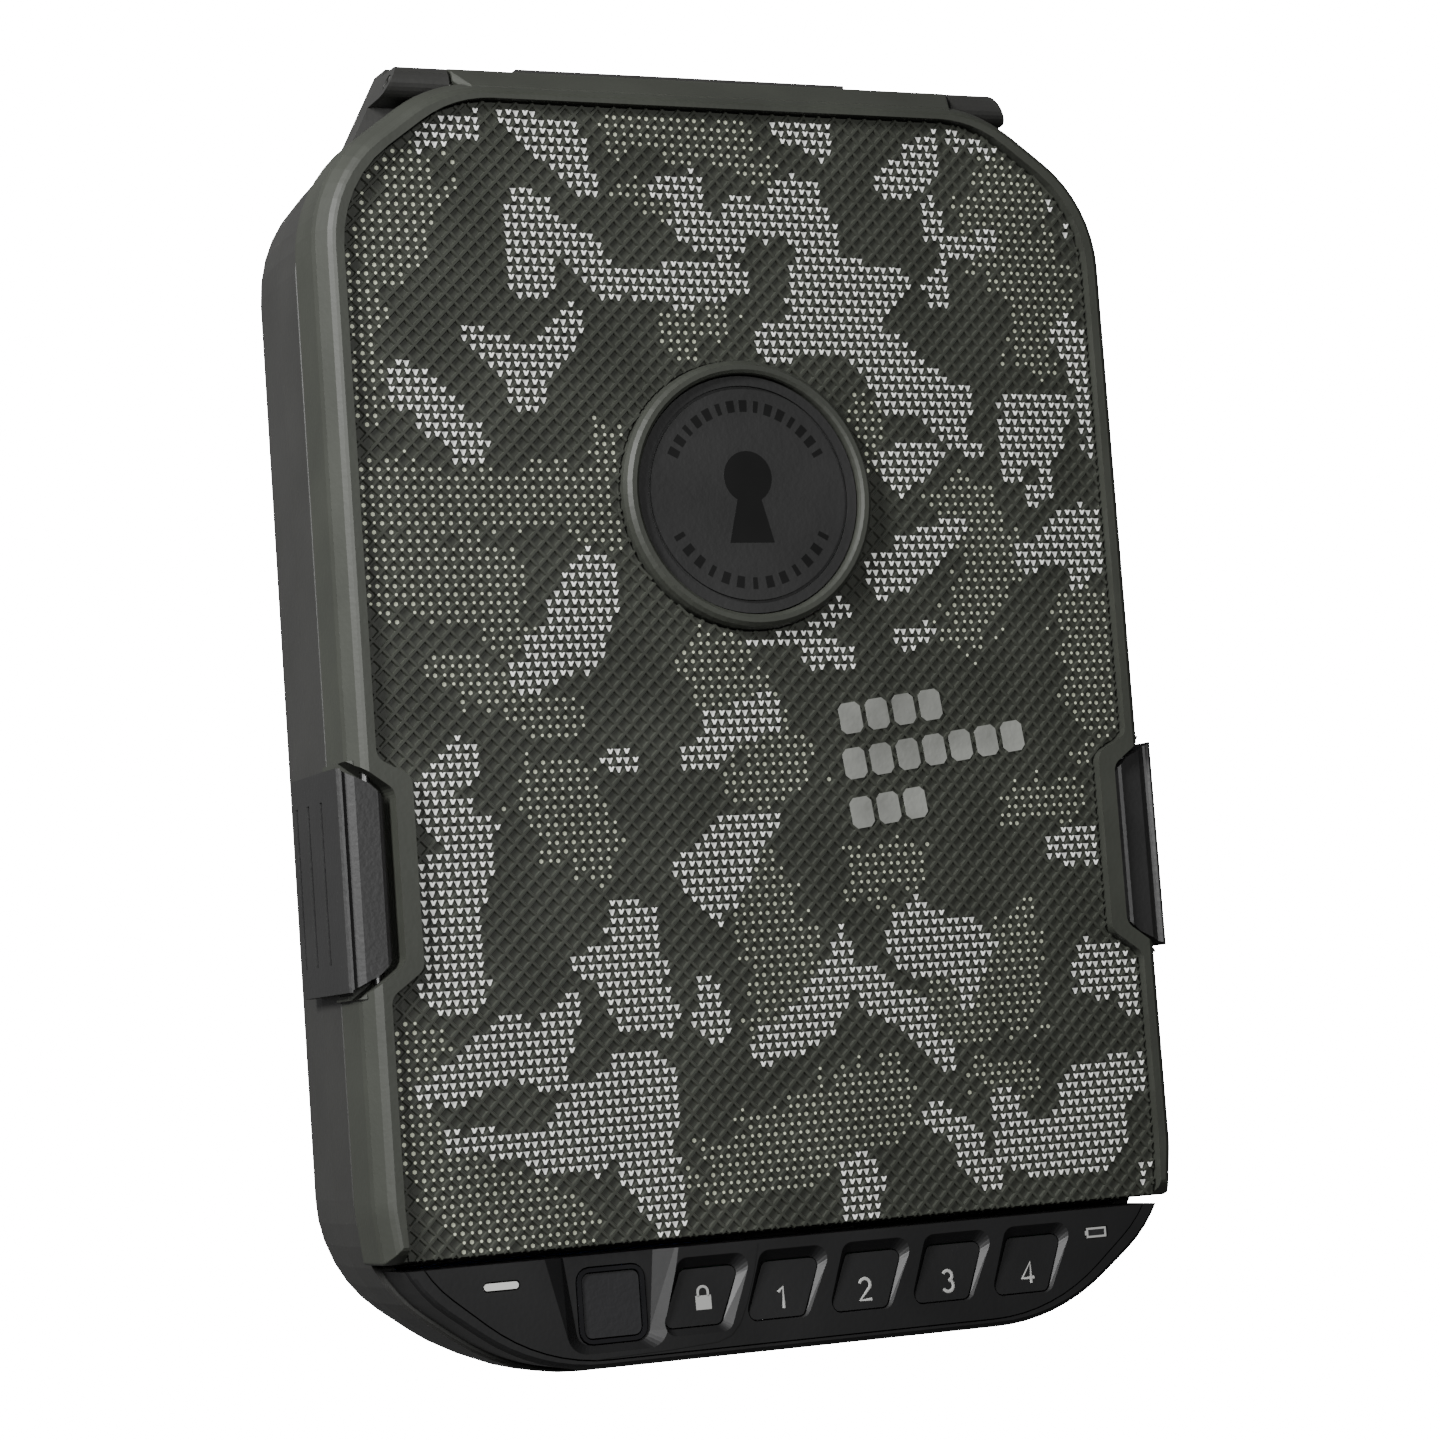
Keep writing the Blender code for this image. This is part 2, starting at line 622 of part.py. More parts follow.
def status_outline(inset):
    x, y, half, thick = -64.8, -114.3, 3.9, 1.0
    return outline([(x - half, y - thick, 0.95), (x + half, y - thick, 0.95),
                    (x + half, y + thick, 0.95), (x - half, y + thick, 0.95)], inset, 4)


def battery_light_outline(inset):
    x, y, half, thick = 68.6, -114.9, 2.8, 1.2
    return outline([(x - half, y - thick, 0.4), (x + half, y - thick, 0.4),
                    (x + half, y + thick, 0.4), (x - half, y + thick, 0.4)], inset, 3)


def make_indicators():
    light = prism("status_light", status_outline(GAP), 49.0, KEYPAD_TOP_Z - 0.1)
    finish(light, "indicator lens", WHITE, 0.3)
    battery = prism("battery_light", battery_light_outline(GAP), 49.0, KEYPAD_TOP_Z - 0.1)
    finish(battery, "indicator lens", WHITE, 0.3)


# ---------------------------------------------------------------- electronics and lock

def make_electronics():
    board_plan = mirrored([(54.0, -124.5, 2.0), (68.0, -113.5, 2.0)])
    board = prism("control_board", outline(board_plan, 0.0, 3), BOARD_TOP_Z - BOARD_THICKNESS, BOARD_TOP_Z)
    finish(board, "circuit board", BOARD_GREEN, 0.5)
    sounder = rod("sounder", "Z", (60, -107, 30), (60, -107, 36), 6.0, 24)
    finish(sounder, "black plastic", BLACK, 0.5)
    holder_low = (BATTERY_X - 26.0, BATTERY_Y - 5.0, FLOOR_Z + GAP)
    holder_high = (BATTERY_X + 26.0, BATTERY_Y + 8.5, 14.0)
    holder = box("battery_holder", holder_low, holder_high)
    trough = rod("battery trough", "X", (BATTERY_X - BATTERY_LENGTH / 2 - 1.2, BATTERY_Y, BATTERY_Z),
                 (BATTERY_X + BATTERY_LENGTH / 2 + 1.2, BATTERY_Y, BATTERY_Z), BATTERY_RADIUS + GAP,
                 32, True)
    cut(holder, trough)
    finish(holder, "black plastic", BLACK, 0.5)
    cell = rod("battery_cell", "X", (BATTERY_X - BATTERY_LENGTH / 2, BATTERY_Y, BATTERY_Z),
               (BATTERY_X + BATTERY_LENGTH / 2, BATTERY_Y, BATTERY_Z), BATTERY_RADIUS, 32)
    finish(cell, "battery wrap", (0.05, 0.09, 0.22), 0.35)


def make_charging_port():
    face_y = -129.4
    port = box("charging_port", (PORT_X - 4.6, face_y, PORT_Z - 1.9),
               (PORT_X + 4.6, face_y + 7.5, PORT_Z + 1.9))
    cut(port, box("port mouth", (PORT_X - 4.0, face_y - 1, PORT_Z - 1.3),
                  (PORT_X + 4.0, face_y + 5.5, PORT_Z + 1.3), True))
    finish(port, "steel", STEEL, 0.35, 1.0)
    cover = box("port_cover", (PORT_X - 9.0, FRONT_Y + 0.3, PORT_Z - 6.0),
                (PORT_X + 9.0, FRONT_Y + 1.7, PORT_Z + 5.5))
    hinge = (PORT_X, FRONT_Y + 1.0, PORT_Z - 6.0)
    finish(cover, "rubber", RUBBER, 0.9, origin=hinge)


def make_key_lock():
    x, z = KEY_CYLINDER_X, KEY_CYLINDER_Z
    barrel = rod("key_cylinder", "Y", (x, FRONT_Y, z), (x, -114.0, z), 8.0, 32)
    cut(barrel, rod("plug bore", "Y", (x, -150, z), (x, -100, z), 5.0 + GAP, 32, True))
    finish(barrel, "steel", STEEL, 0.35, 1.0)
    plug = rod("key_plug", "Y", (x, FRONT_Y + 0.4, z), (x, -112.5, z), 5.0, 32)
    cut(plug, box("key slot", (x - 0.8, -140, z - 3.6), (x + 0.8, -120, z + 3.6), True))
    finish(plug, "brass", BRASS, 0.4, 1.0, origin=(x, FRONT_Y, z))
    cam = hull("key_cam", [(x + dx, y, z + dz) for y in (-112.2, -110.4)
                           for dx, dz in ((-4, -4), (4, -4), (4, 4), (-4, 4), (2.5, -12), (-2.5, -12))])
    finish(cam, "steel", STEEL, 0.35, 1.0, origin=(x, FRONT_Y, z))


def make_bolt_work():
    """Gearmotor, lead screw and the bolt that the screw drives rearward into the striker."""
    motor = rod("lock_motor", "Y", (0, -129.0, BOLT_Z), (0, -119.6, BOLT_Z), 6.0, 24)
    finish(motor, "steel", STEEL, 0.35, 1.0)
    screw = rod("lead_screw", "Y", (0, -119.3, BOLT_Z), (0, -110.5, BOLT_Z), 1.4, 16)
    finish(screw, "brass", BRASS, 0.4, 1.0, origin=(0, -119.3, BOLT_Z))
    bolt = box("lock_bolt", (-4.0, -117.5, BOLT_Z - 2.2), (4.0, -105.0, BOLT_Z + 2.2))
    cut(bolt, rod("bolt bore", "Y", (0, -130, BOLT_Z), (0, -107.5, BOLT_Z), 1.4 + GAP, 16, True))
    finish(bolt, "steel", STEEL, 0.35, 1.0, origin=(0, -117.5, BOLT_Z))
    guide = box("bolt_guide", (-8.0, -116.0, BOLT_Z - 5.0), (8.0, -107.0, BOLT_Z + 4.2))
    cut(guide, box("guide channel", (-4.0 - GAP, -130, BOLT_Z - 2.2 - GAP),
                   (4.0 + GAP, -100, BOLT_Z + 2.2 + GAP), True))
    finish(guide, "black plastic", BLACK, 0.5)


# ---------------------------------------------------------------- lid

def make_lid_shell():
    """Lid moulding: straight wall, rounded shoulder, raised rim and hinge band."""
    corners = lid_corners()
    low_z = PARTING_Z + 0.1
    rows = [(LID_WALL, LID_CEILING_Z), (LID_WALL, low_z), (0.4, low_z), (0.0, low_z + 0.5), (0.0, 50.2),
            (0.35, 51.5), (1.1, 52.9), (1.9, 54.4), (2.7, 55.2), (3.3, RIM_Z)]
    loops = [level(outline(corners, inset, 8), z) for inset, z in rows]
    shell = loft("lid_shell", loops)
    add(shell, make_hinge_band())
    for side in (-1, 1):
        add(shell, make_latch_pocket(side), make_latch_collar(side, -1), make_latch_collar(side, 1))
    cut(shell, make_rim_front_cutter())
    cut(shell, prism("panel seat", outline(panel_corners(LID_FRONT_Y - 8)), PANEL_SEAT_Z, RIM_Z + 3, True))
    cut(shell, rod("badge seat", "Z", (0, BADGE_Y, 50.9), (0, BADGE_Y, 60), BADGE_RING_OUTER + GAP,
                   64, True))
    for side in (-1, 1):
        cut(shell, make_notch(side))
        cut(shell, make_knuckle_space(side))
        cut(shell, rod(f"lid pin hole {side}", "X", (side * 49.5, HINGE_Y, HINGE_Z),
                       (side * 70, HINGE_Y, HINGE_Z), HINGE_PIN_RADIUS + GAP, 16, True))
        cut(shell, rod(f"latch pin hole {side}", "Y",
                       (side * LATCH_PIVOT_X, LATCH_FRONT_Y - 1.6, LATCH_PIVOT_Z),
                       (side * LATCH_PIVOT_X, LATCH_REAR_Y + 3.6, LATCH_PIVOT_Z),
                       LATCH_PIN_RADIUS + GAP, 12, True))
    return finish(shell, "olive shell", OLIVE, 0.55, origin=(0, HINGE_Y, HINGE_Z))


def make_rim_front_cutter():
    """Takes the rim off the front edge, where the panel runs out flush."""
    half = 82.6
    return box("open front of the rim", (-half, LID_FRONT_Y - 5, PANEL_Z - 0.2),
               (half, LID_FRONT_Y + 6, 60), True)


def make_hinge_band():
    """Sloping band along the rear of the lid that ends in the middle hinge knuckle."""
    points = []
    for step in range(16):
        a = 2 * math.pi * step / 16
        points.append((HINGE_Y + (KNUCKLE_RADIUS + 0.1) * math.cos(a),
                       HINGE_Z + (KNUCKLE_RADIUS + 0.1) * math.sin(a)))
    points += [(LID_REAR_Y - 1.2, 53.6), (LID_REAR_Y - 3.0, 53.6), (LID_REAR_Y - 2.4, 43.0)]
    solid = []
    for y, z in points:
        half = 56.8 if y > LID_REAR_Y else 54.5
        solid += [(-half, y, z), (half, y, z)]
    return hull("hinge band", solid)


def make_knuckle_space(side):
    """Clears the lid around one base knuckle and its foot."""
    radius = KNUCKLE_RADIUS + 0.7
    points = []
    for step in range(13):
        a = math.pi * step / 12
        points.append((HINGE_Y + radius * math.cos(a), HINGE_Z + radius * math.sin(a)))
    points += [(HINGE_Y - radius - 0.3, PARTING_Z - 3), (HINGE_Y + radius, PARTING_Z - 3)]
    solid = []
    for y, z in points:
        solid += [(side * (KNUCKLE_X - 0.2), y, z), (side * 85.0, y, z)]
    return hull(f"knuckle space {side}", solid, True)


def make_latch_pocket(side):
    """Thickening under the lid's edge that closes the latch notch from below."""
    near, far = sorted((side * (NOTCH_INNER_X - 1.8), side * (LID_HALF_WIDTH - 1.5)))
    return box(f"latch pocket {side}", (near, LATCH_FRONT_Y - 6, NOTCH_FLOOR_Z - 2.0),
               (far, LATCH_REAR_Y + 8, LID_CEILING_Z + 0.6))


def make_latch_collar(side, end):
    """Thin raised frame on the lid's wall, just beyond one end of a latch."""
    edge_y = LATCH_REAR_Y if end > 0 else LATCH_FRONT_Y
    low_y, high_y = sorted((edge_y + end * 0.5, edge_y + end * 1.4))
    solid = []
    for y in (low_y, high_y):
        for x, z in ((88.6, 39.9), (90.2, 39.9), (90.2, 51.0), (88.4, 53.0), (87.6, 52.6)):
            solid.append((side * x, y, z))
    return hull(f"latch collar {side} {end}", solid)


def make_notch(side):
    """Step in the lid's edge that takes the top of a latch."""
    reach = LID_HALF_WIDTH + 8
    run = reach - NOTCH_INNER_X
    front_y, rear_y = LATCH_FRONT_Y + 5.0, LATCH_REAR_Y - 4.8
    corners = [(reach, front_y - run * NOTCH_SLOPE, 0.5), (reach, rear_y + run * NOTCH_SLOPE, 0.5),
               (NOTCH_INNER_X, rear_y, 3.0), (NOTCH_INNER_X, front_y, 3.0)]
    plan = outline(corners, 0.0, 4)
    if side < 0:
        plan = [(-x, y) for x, y in reversed(plan)]
    return prism(f"latch notch {side}", plan, NOTCH_FLOOR_Z, 70, True)


def make_lid_panel():
    """Plate that carries the textured finish, flush with the lid's front edge."""
    corners = panel_corners(LID_FRONT_Y + 0.2)
    plate = prism("lid_panel", outline(corners, GAP), PANEL_SEAT_Z + GAP, PANEL_Z)
    cut(plate, rod("badge opening", "Z", (0, BADGE_Y, 40), (0, BADGE_Y, 70), BADGE_RING_OUTER + GAP,
                   64, True))
    return finish(plate, "textured panel", OLIVE, 0.6, origin=(0, HINGE_Y, HINGE_Z))


def make_badge():
    inner, outer = BADGE_RING_INNER, BADGE_RING_OUTER
    profile = [(inner, 51.2), (outer, 51.2), (outer, 54.6), (outer - 0.4, 55.9),
               (outer - 1.2, BADGE_RING_TOP_Z),
               (inner + 0.8, BADGE_RING_TOP_Z), (inner + 0.2, 56.2), (inner, 55.6)]
    ring = turned("badge_ring", (0, BADGE_Y), profile, 64)
    finish(ring, "olive shell", OLIVE, 0.55, origin=(0, HINGE_Y, HINGE_Z))
    disc = rod("badge_disc", "Z", (0, BADGE_Y, 51.2), (0, BADGE_Y, 54.9), inner - GAP, 64)
    section = [(21.9, 54.2), (22.6, 54.2), (22.6, 56), (21.9, 56)]
    groove = turned("badge groove", (0, BADGE_Y), section, 64, True)
    cut(disc, groove)
    finish(disc, "black plastic", BLACK, 0.5, origin=(0, HINGE_Y, HINGE_Z))


def make_lid_foam():
    plan = mirrored([(78.8, -96.0, 6.0), (78.8, 96.0, 18.0), (58.0, 117.0, 18.0)])
    foam = prism("lid_foam", outline(plan), LID_CEILING_Z - 6.0, LID_CEILING_Z - GAP)
    return finish(foam, "foam", FOAM, 0.95, origin=(0, HINGE_Y, HINGE_Z))


def make_striker():
    """Steel plate under the front of the lid with a window for the bolt."""
    y = STRIKER_Y
    striker = box("striker", (-6.5, y - 1.2, 26.5), (6.5, y + 1.2, LID_CEILING_Z - GAP))
    add(striker, box("striker foot", (-11, y - 1.2, 48.0), (11, y + 4.5, LID_CEILING_Z - GAP)))
    cut(striker, box("bolt window", (-4.7, y - 4, BOLT_Z - 2.9), (4.7, y + 4, BOLT_Z + 2.9), True))
    finish(striker, "steel", STEEL, 0.35, 1.0, origin=(0, HINGE_Y, HINGE_Z))
    for side, word in ((-1, "left"), (1, "right")):
        screw_x, screw_y = side * 8.8, y + 1.8
        screw = rod(f"striker_screw_{word}", "Z", (screw_x, screw_y, 46.4), (screw_x, screw_y, 47.7), 2.0, 16)
        finish(screw, "steel", STEEL, 0.35, 1.0, origin=(0, HINGE_Y, HINGE_Z))


# ---------------------------------------------------------------- latches

def make_latch(side, word):
    """Folded latch plate: a chamfered top flange, a lip at the fold and a long outer wall."""
    inner, outer, top, bottom = LATCH_INNER_X, LATCH_OUTER_X, LATCH_TOP_Z, LATCH_BOTTOM_Z
    wall_x, flange_z = outer - 2.2, top - 4.0
    flange = [(inner + 0.8, flange_z), (inner, flange_z + 0.8), (inner, top - 0.9), (inner + 0.5, top - 0.3),
              (inner + 1.2, top), (outer - 3.6, top - 0.2)]
    fold = [(outer - 2.7, top - 0.7), (outer - 2.0, top - 1.0), (outer - 1.5, top - 0.8),
            (outer - 1.1, top - 0.3), (outer - 0.6, top - 0.4), (outer - 0.2, top - 0.9), (outer, top - 2.0)]
    wall = [(outer, bottom + 1.0), (outer - 0.6, bottom), (wall_x, bottom), (wall_x, flange_z)]
    profile = flange + fold + wall
    loops = []
    for y in (LATCH_FRONT_Y, LATCH_REAR_Y):
        loops.append([(side * x, y, z) for x, z in profile])
    plate = loft(f"latch_{word}", loops)
    for end, edge_y in ((-1, LATCH_FRONT_Y), (1, LATCH_REAR_Y)):
        cut(plate, make_flange_chamfer(side, end, edge_y))
    for z in LATCH_GROOVES_Z:
        cut(plate, make_finger_groove(side, z))
    cut(plate, rod(f"latch bore {side}", "Y", (side * LATCH_PIVOT_X, -90, LATCH_PIVOT_Z),
                   (side * LATCH_PIVOT_X, 20, LATCH_PIVOT_Z), LATCH_PIN_RADIUS + GAP, 12, True))
    pivot = (side * LATCH_PIVOT_X, LATCH_CENTRE_Y, LATCH_PIVOT_Z)
    finish(plate, "latch plastic", BLACK, 0.55, origin=pivot)
    pin = rod(f"latch_pin_{word}", "Y", (side * LATCH_PIVOT_X, LATCH_FRONT_Y - 1.2, LATCH_PIVOT_Z),
              (side * LATCH_PIVOT_X, LATCH_REAR_Y + 3.2, LATCH_PIVOT_Z), LATCH_PIN_RADIUS, 12)
    finish(pin, "steel", STEEL, 0.35, 1.0, origin=pivot)


def make_flange_chamfer(side, end, edge_y):
    """Cuts one corner off a latch's top flange, leaning back so that the latch can swing clear of the lid."""
    low_z, high_z = 46.0, 60.0
    lean = 0.129
    loops = []
    for z in (low_z, high_z):
        near_y = edge_y - end * lean * (z - 50.0)
        plan = [(70, near_y - end * 14.0), (LATCH_INNER_X - 0.5, near_y - end * 7.4),
                (LATCH_INNER_X + 0.4, near_y - end * 5.0), (85.4, near_y - end * 2.7), (91.2, near_y),
                (91.2, edge_y + end * 8), (70, edge_y + end * 8)]
        plan = [(side * x, y) for x, y in plan]
        if side * end > 0:
            plan.reverse()
        loops.append(level(plan, z))
    return loft(f"flange chamfer {side} {end}", loops, True)


def make_finger_groove(side, z):
    half = 16.0
    low_x, high_x = LATCH_OUTER_X - 0.7, LATCH_OUTER_X + 2
    low = (min(side * low_x, side * high_x), LATCH_CENTRE_Y - half, z - 0.7)
    high = (max(side * low_x, side * high_x), LATCH_CENTRE_Y + half, z + 0.7)
    return box(f"finger groove {side} {z}", low, high, True)


def main():
    clear_scene()
    make_base_shell()
    make_feet()
    make_gasket()
    make_base_foam()
    make_hinge_pins()
    make_lock_cover()
    make_keypad_housing()
    make_keypad_plate()
    make_keys()
    make_fingerprint_sensor()
    make_indicators()
    make_electronics()
    make_charging_port()
    make_key_lock()
    make_bolt_work()
    make_lid_shell()
    make_lid_panel()
    make_badge()
    make_lid_foam()
    make_striker()
    for side, word in ((-1, "left"), (1, "right")):
        make_latch(side, word)


main()
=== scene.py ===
"""Looks for the portable gun safe.

Materials, the knurled lid panel with its printed camouflage, badge marks, keypad legends, foam, light and
camera. Pieces stand in metres in the row frame: X right, +Y towards the hinge, Z up, the origin on the floor.
Sizes of the printed and knurled work are in millimetres, and MM turns them into metres as meshes are built.
"""
import math

import bmesh
import bpy
from mathutils import Matrix, Vector, noise


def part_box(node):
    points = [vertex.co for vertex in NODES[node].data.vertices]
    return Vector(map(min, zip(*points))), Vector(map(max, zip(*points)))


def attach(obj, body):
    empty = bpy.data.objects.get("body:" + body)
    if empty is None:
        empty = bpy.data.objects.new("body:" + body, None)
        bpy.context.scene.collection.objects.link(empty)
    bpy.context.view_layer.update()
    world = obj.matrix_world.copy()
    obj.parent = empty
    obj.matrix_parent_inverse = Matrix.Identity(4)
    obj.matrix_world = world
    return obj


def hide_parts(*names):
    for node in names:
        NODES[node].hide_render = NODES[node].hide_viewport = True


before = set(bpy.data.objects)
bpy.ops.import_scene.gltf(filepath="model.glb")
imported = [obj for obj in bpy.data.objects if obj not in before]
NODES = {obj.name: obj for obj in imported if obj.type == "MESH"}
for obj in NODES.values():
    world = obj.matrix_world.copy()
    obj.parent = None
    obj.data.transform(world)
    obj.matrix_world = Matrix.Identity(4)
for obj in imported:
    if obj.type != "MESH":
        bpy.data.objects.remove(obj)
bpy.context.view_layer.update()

MM = 0.001

# Camera, as the safe is seen: from the left, above the keypad half
CAMERA_PLACE = (-0.3277, -0.0765, 0.7373)
CAMERA_RIGHT = (0.90718, -0.07173, 0.41459)
CAMERA_UP = (0.02565, 0.99296, 0.11566)
CAMERA_LENS = 93.3

# Floor: evenly lit where it is seen, and a modest bounce for the safe standing on it
FLOOR_GLOW = 22.0
FLOOR_BOUNCE = 0.12
FLOOR_SIZE = 8.0
WORLD_LIGHT = 0.02

# Lights: name, place, side in metres, power in watts
LIGHT_TARGET = (0.0, 0.0, 0.03)
LIGHTS = [("left key", (-0.90, 0.50, 0.52), 0.30, 24.0),
          ("top fill", (-0.34, 0.12, 1.15), 0.30, 8.5)]

# Knurl of the lid panel, in millimetres: ridges that cross as diamonds over a lower floor
HALF_PITCH_X = 1.80
HALF_PITCH_Y = 1.785
KNURL_DEPTH = 0.60
RIDGE_TOP = 0.50
RIDGE_FOOT = 0.95
RIDGE_REACH = 110                # ridges on each side of the middle one, more than the panel holds
PRINT_LIFT = 0.02                # how far the printed marks stand over what they lie on
SINK = 0.05                      # how far ridges and marks reach down into what carries them
PRINT_ROOM = 0.9                 # least distance of a mark's centre from the panel's border
PRINT_SPAN = (90.0, 130.0)       # half extents searched for marks
FLOOR_REACH = 0.98               # half diagonal of the dark ground and painted shade under a light mark, on the floor
CROSSING_REACH = 0.86            # the same over a crossing of ridges
FLOOR_DOT = 0.46                 # radius of a dot on the floor
CROSSING_DOT = 0.32
LIGHT_SPREAD = 1.6               # how far the borders of the light and dotted patches wander
DOTTED_SPREAD = 5.0
TOUCH = 0.01                     # distance under which a vertex counts as lying on the panel's face

# Light camouflage: brush strokes in millimetres, each a run of (x, y, half width)
LIGHT_STROKES = [
    [(-65, 114, 3), (-56, 117, 3)],
    [(-46, 118, 3), (-35, 113, 5), (-31, 105, 3)],
    [(-44, 99, 5), (-44, 86, 5)],
    [(-44, 96, 5), (-33, 92, 4)],
    [(-57, 74, 2), (-46, 66, 5), (-46, 62, 4)],
    [(-44, 68, 4), (-36, 77, 3)],
    [(-72, 64, 4), (-60, 51, 4)],
    [(-15, 105, 2), (-8, 105, 3), (-8, 97, 4), (0, 95, 4), (4, 101, 4)],
    [(8, 97, 3), (17, 103, 6), (20, 95, 6), (22, 84, 9)],
    [(7, 72, 3), (20, 77, 7), (29, 85, 6), (39, 86, 3)],
    [(14, 119, 3), (22, 117, 4)],
    [(30, 76, 5), (38, 65, 7), (50, 61, 5), (47, 56, 3), (54, 51, 2)],
    [(-29, 85, 3), (-10, 85, 5), (1, 86, 3)],
    [(40, 108, 4), (46, 112, 5), (50, 118, 2)],
    [(48, 99, 3), (48, 104, 2)],
    [(52, 94, 2), (58, 94, 2), (63, 98, 2)],
    [(49, 85, 3), (50, 90, 1)],
    [(57, 119, 3), (63, 117, 2)],
    [(79, 105, 2), (84, 97, 2), (86, 90, 2)],
    [(79, 76, 4), (83, 70, 4), (84, 52, 3)],
    [(64, 60, 3), (76, 61, 3), (70, 52, 5)],
    [(64, 58, 3), (63, 47, 3)],
    [(36, 47, 5), (44, 50, 3)],
    [(67, 41, 2), (71, 43, 2)],
    [(66, 28, 3), (78, 33, 6), (84, 33, 6), (78, 26, 4)],
    [(30, 24, 4), (38, 28, 5), (49, 35, 2)],
    [(-35, 24, 6), (-40, 13, 7), (-50, 5, 4)],
    [(-2, 13, 2), (12, 13, 3), (20, 18, 2)],
    [(13, 8, 3), (19, 8, 3)],
    [(34, 10, 2), (39, 12, 2)],
    [(-66, -11, 4), (-73, -18, 4), (-66, -28, 6), (-71, -42, 7), (-71, -55, 7)],
    [(-10, -7, 4), (1, -4, 4)],
    [(-17, -12, 2), (-11, -11, 3)],
    [(-34, -13, 2), (-31, -13, 2)],
    [(-18, -36, 4), (-8, -30, 6), (0, -26, 2)],
    [(-10, -36, 5), (-13, -43, 3)],
    [(-32, -46, 6), (-32, -60, 7), (-27, -64, 4)],
    [(-34, -52, 5), (-44, -53, 2)],
    [(-77, -77, 2), (-68, -73, 5), (-60, -68, 5), (-52, -72, 5), (-46, -60, 2)],
    [(-46, -84, 6), (-32, -78, 8), (-32, -95, 6), (-28, -104, 4)],
    [(-73, -86, 2), (-58, -88, 3), (-44, -90, 5)],
    [(-16, -59, 3), (-16, -66, 4)],
    [(-4, -72, 3), (7, -67, 5), (14, -58, 4), (15, -49, 1)],
    [(20, -61, 4), (29, -67, 4), (37, -77, 2)],
    [(33, -52, 8), (44, -53, 5), (42, -64, 2)],
    [(66, -34, 3), (75, -34, 4)],
    [(74, -60, 6), (82, -60, 6), (82, -66, 4)],
    [(82, -82, 4), (70, -86, 7), (70, -94, 8), (56, -97, 6)],
    [(49, -87, 3), (52, -96, 5)],
    [(33, -88, 3), (39, -93, 3), (44, -102, 3)],
    [(15, -99, 4), (15, -107, 4)],
    [(82, -104, 2), (82, -103, 2)],
]

# Dotted camouflage, in the same form
DOTTED_STROKES = [
    [(-80, 116, 6), (-67, 105, 6), (-75, 92, 8)],
    [(-81, 84, 4), (-81, 62, 5)],
    [(-80, 40, 8), (-60, 40, 6), (-40, 42, 6), (-30, 34, 5)],
    [(-78, 26, 8), (-58, 24, 8), (-54, 14, 5)],
    [(-66, 6, 5), (-44, -4, 4)],
    [(-22, 117, 5), (0, 116, 5), (8, 109, 3)],
    [(-20, 104, 3), (-14, 102, 4)],
    [(-12, 75, 5), (-4, 78, 3)],
    [(-30, 52, 4), (-27, 40, 3)],
    [(70, 110, 8), (62, 98, 8), (74, 88, 8), (70, 72, 5)],
    [(50, 40, 7), (58, 28, 6), (50, 14, 6)],
    [(30, 50, 4), (28, 60, 4)],
    [(78, 14, 8), (80, -4, 8), (80, -18, 5)],
    [(-4, -40, 8), (2, -56, 8), (-2, -66, 6)],
    [(22, -38, 6), (30, -36, 5)],
    [(-46, -20, 9), (-40, -30, 7)],
    [(-10, 6, 8), (6, -14, 6), (-4, -18, 5)],
    [(-80, -68, 6), (-82, -84, 6), (-66, -100, 9), (-50, -103, 6)],
    [(20, -84, 9), (0, -92, 9), (-16, -96, 6)],
    [(36, -68, 7), (52, -66, 7), (56, -52, 6)],
    [(58, -82, 3), (46, -80, 4)],
    [(58, -24, 4), (70, -24, 4)],
]


# ---------------------------------------------------------------- small helpers

def new_material(name):
    """A Principled material and its node tree, ready for more nodes."""
    material = bpy.data.materials.new(name)
    material.use_nodes = True
    tree = material.node_tree
    return material, tree, tree.nodes["Principled BSDF"]


def dress(material, *node_names):
    """Give CAD nodes one material."""
    for node_name in node_names:
        node = NODES[node_name]
        node.data.materials.clear()
        node.data.materials.append(material)


MOTTLE_SCALE = 60.0              # noise scales are per metre
GRAIN_SCALE = 900.0
GRAIN_HEIGHT = 0.0002
GLOSS_SWING = 0.05               # how far the roughness wanders to each side


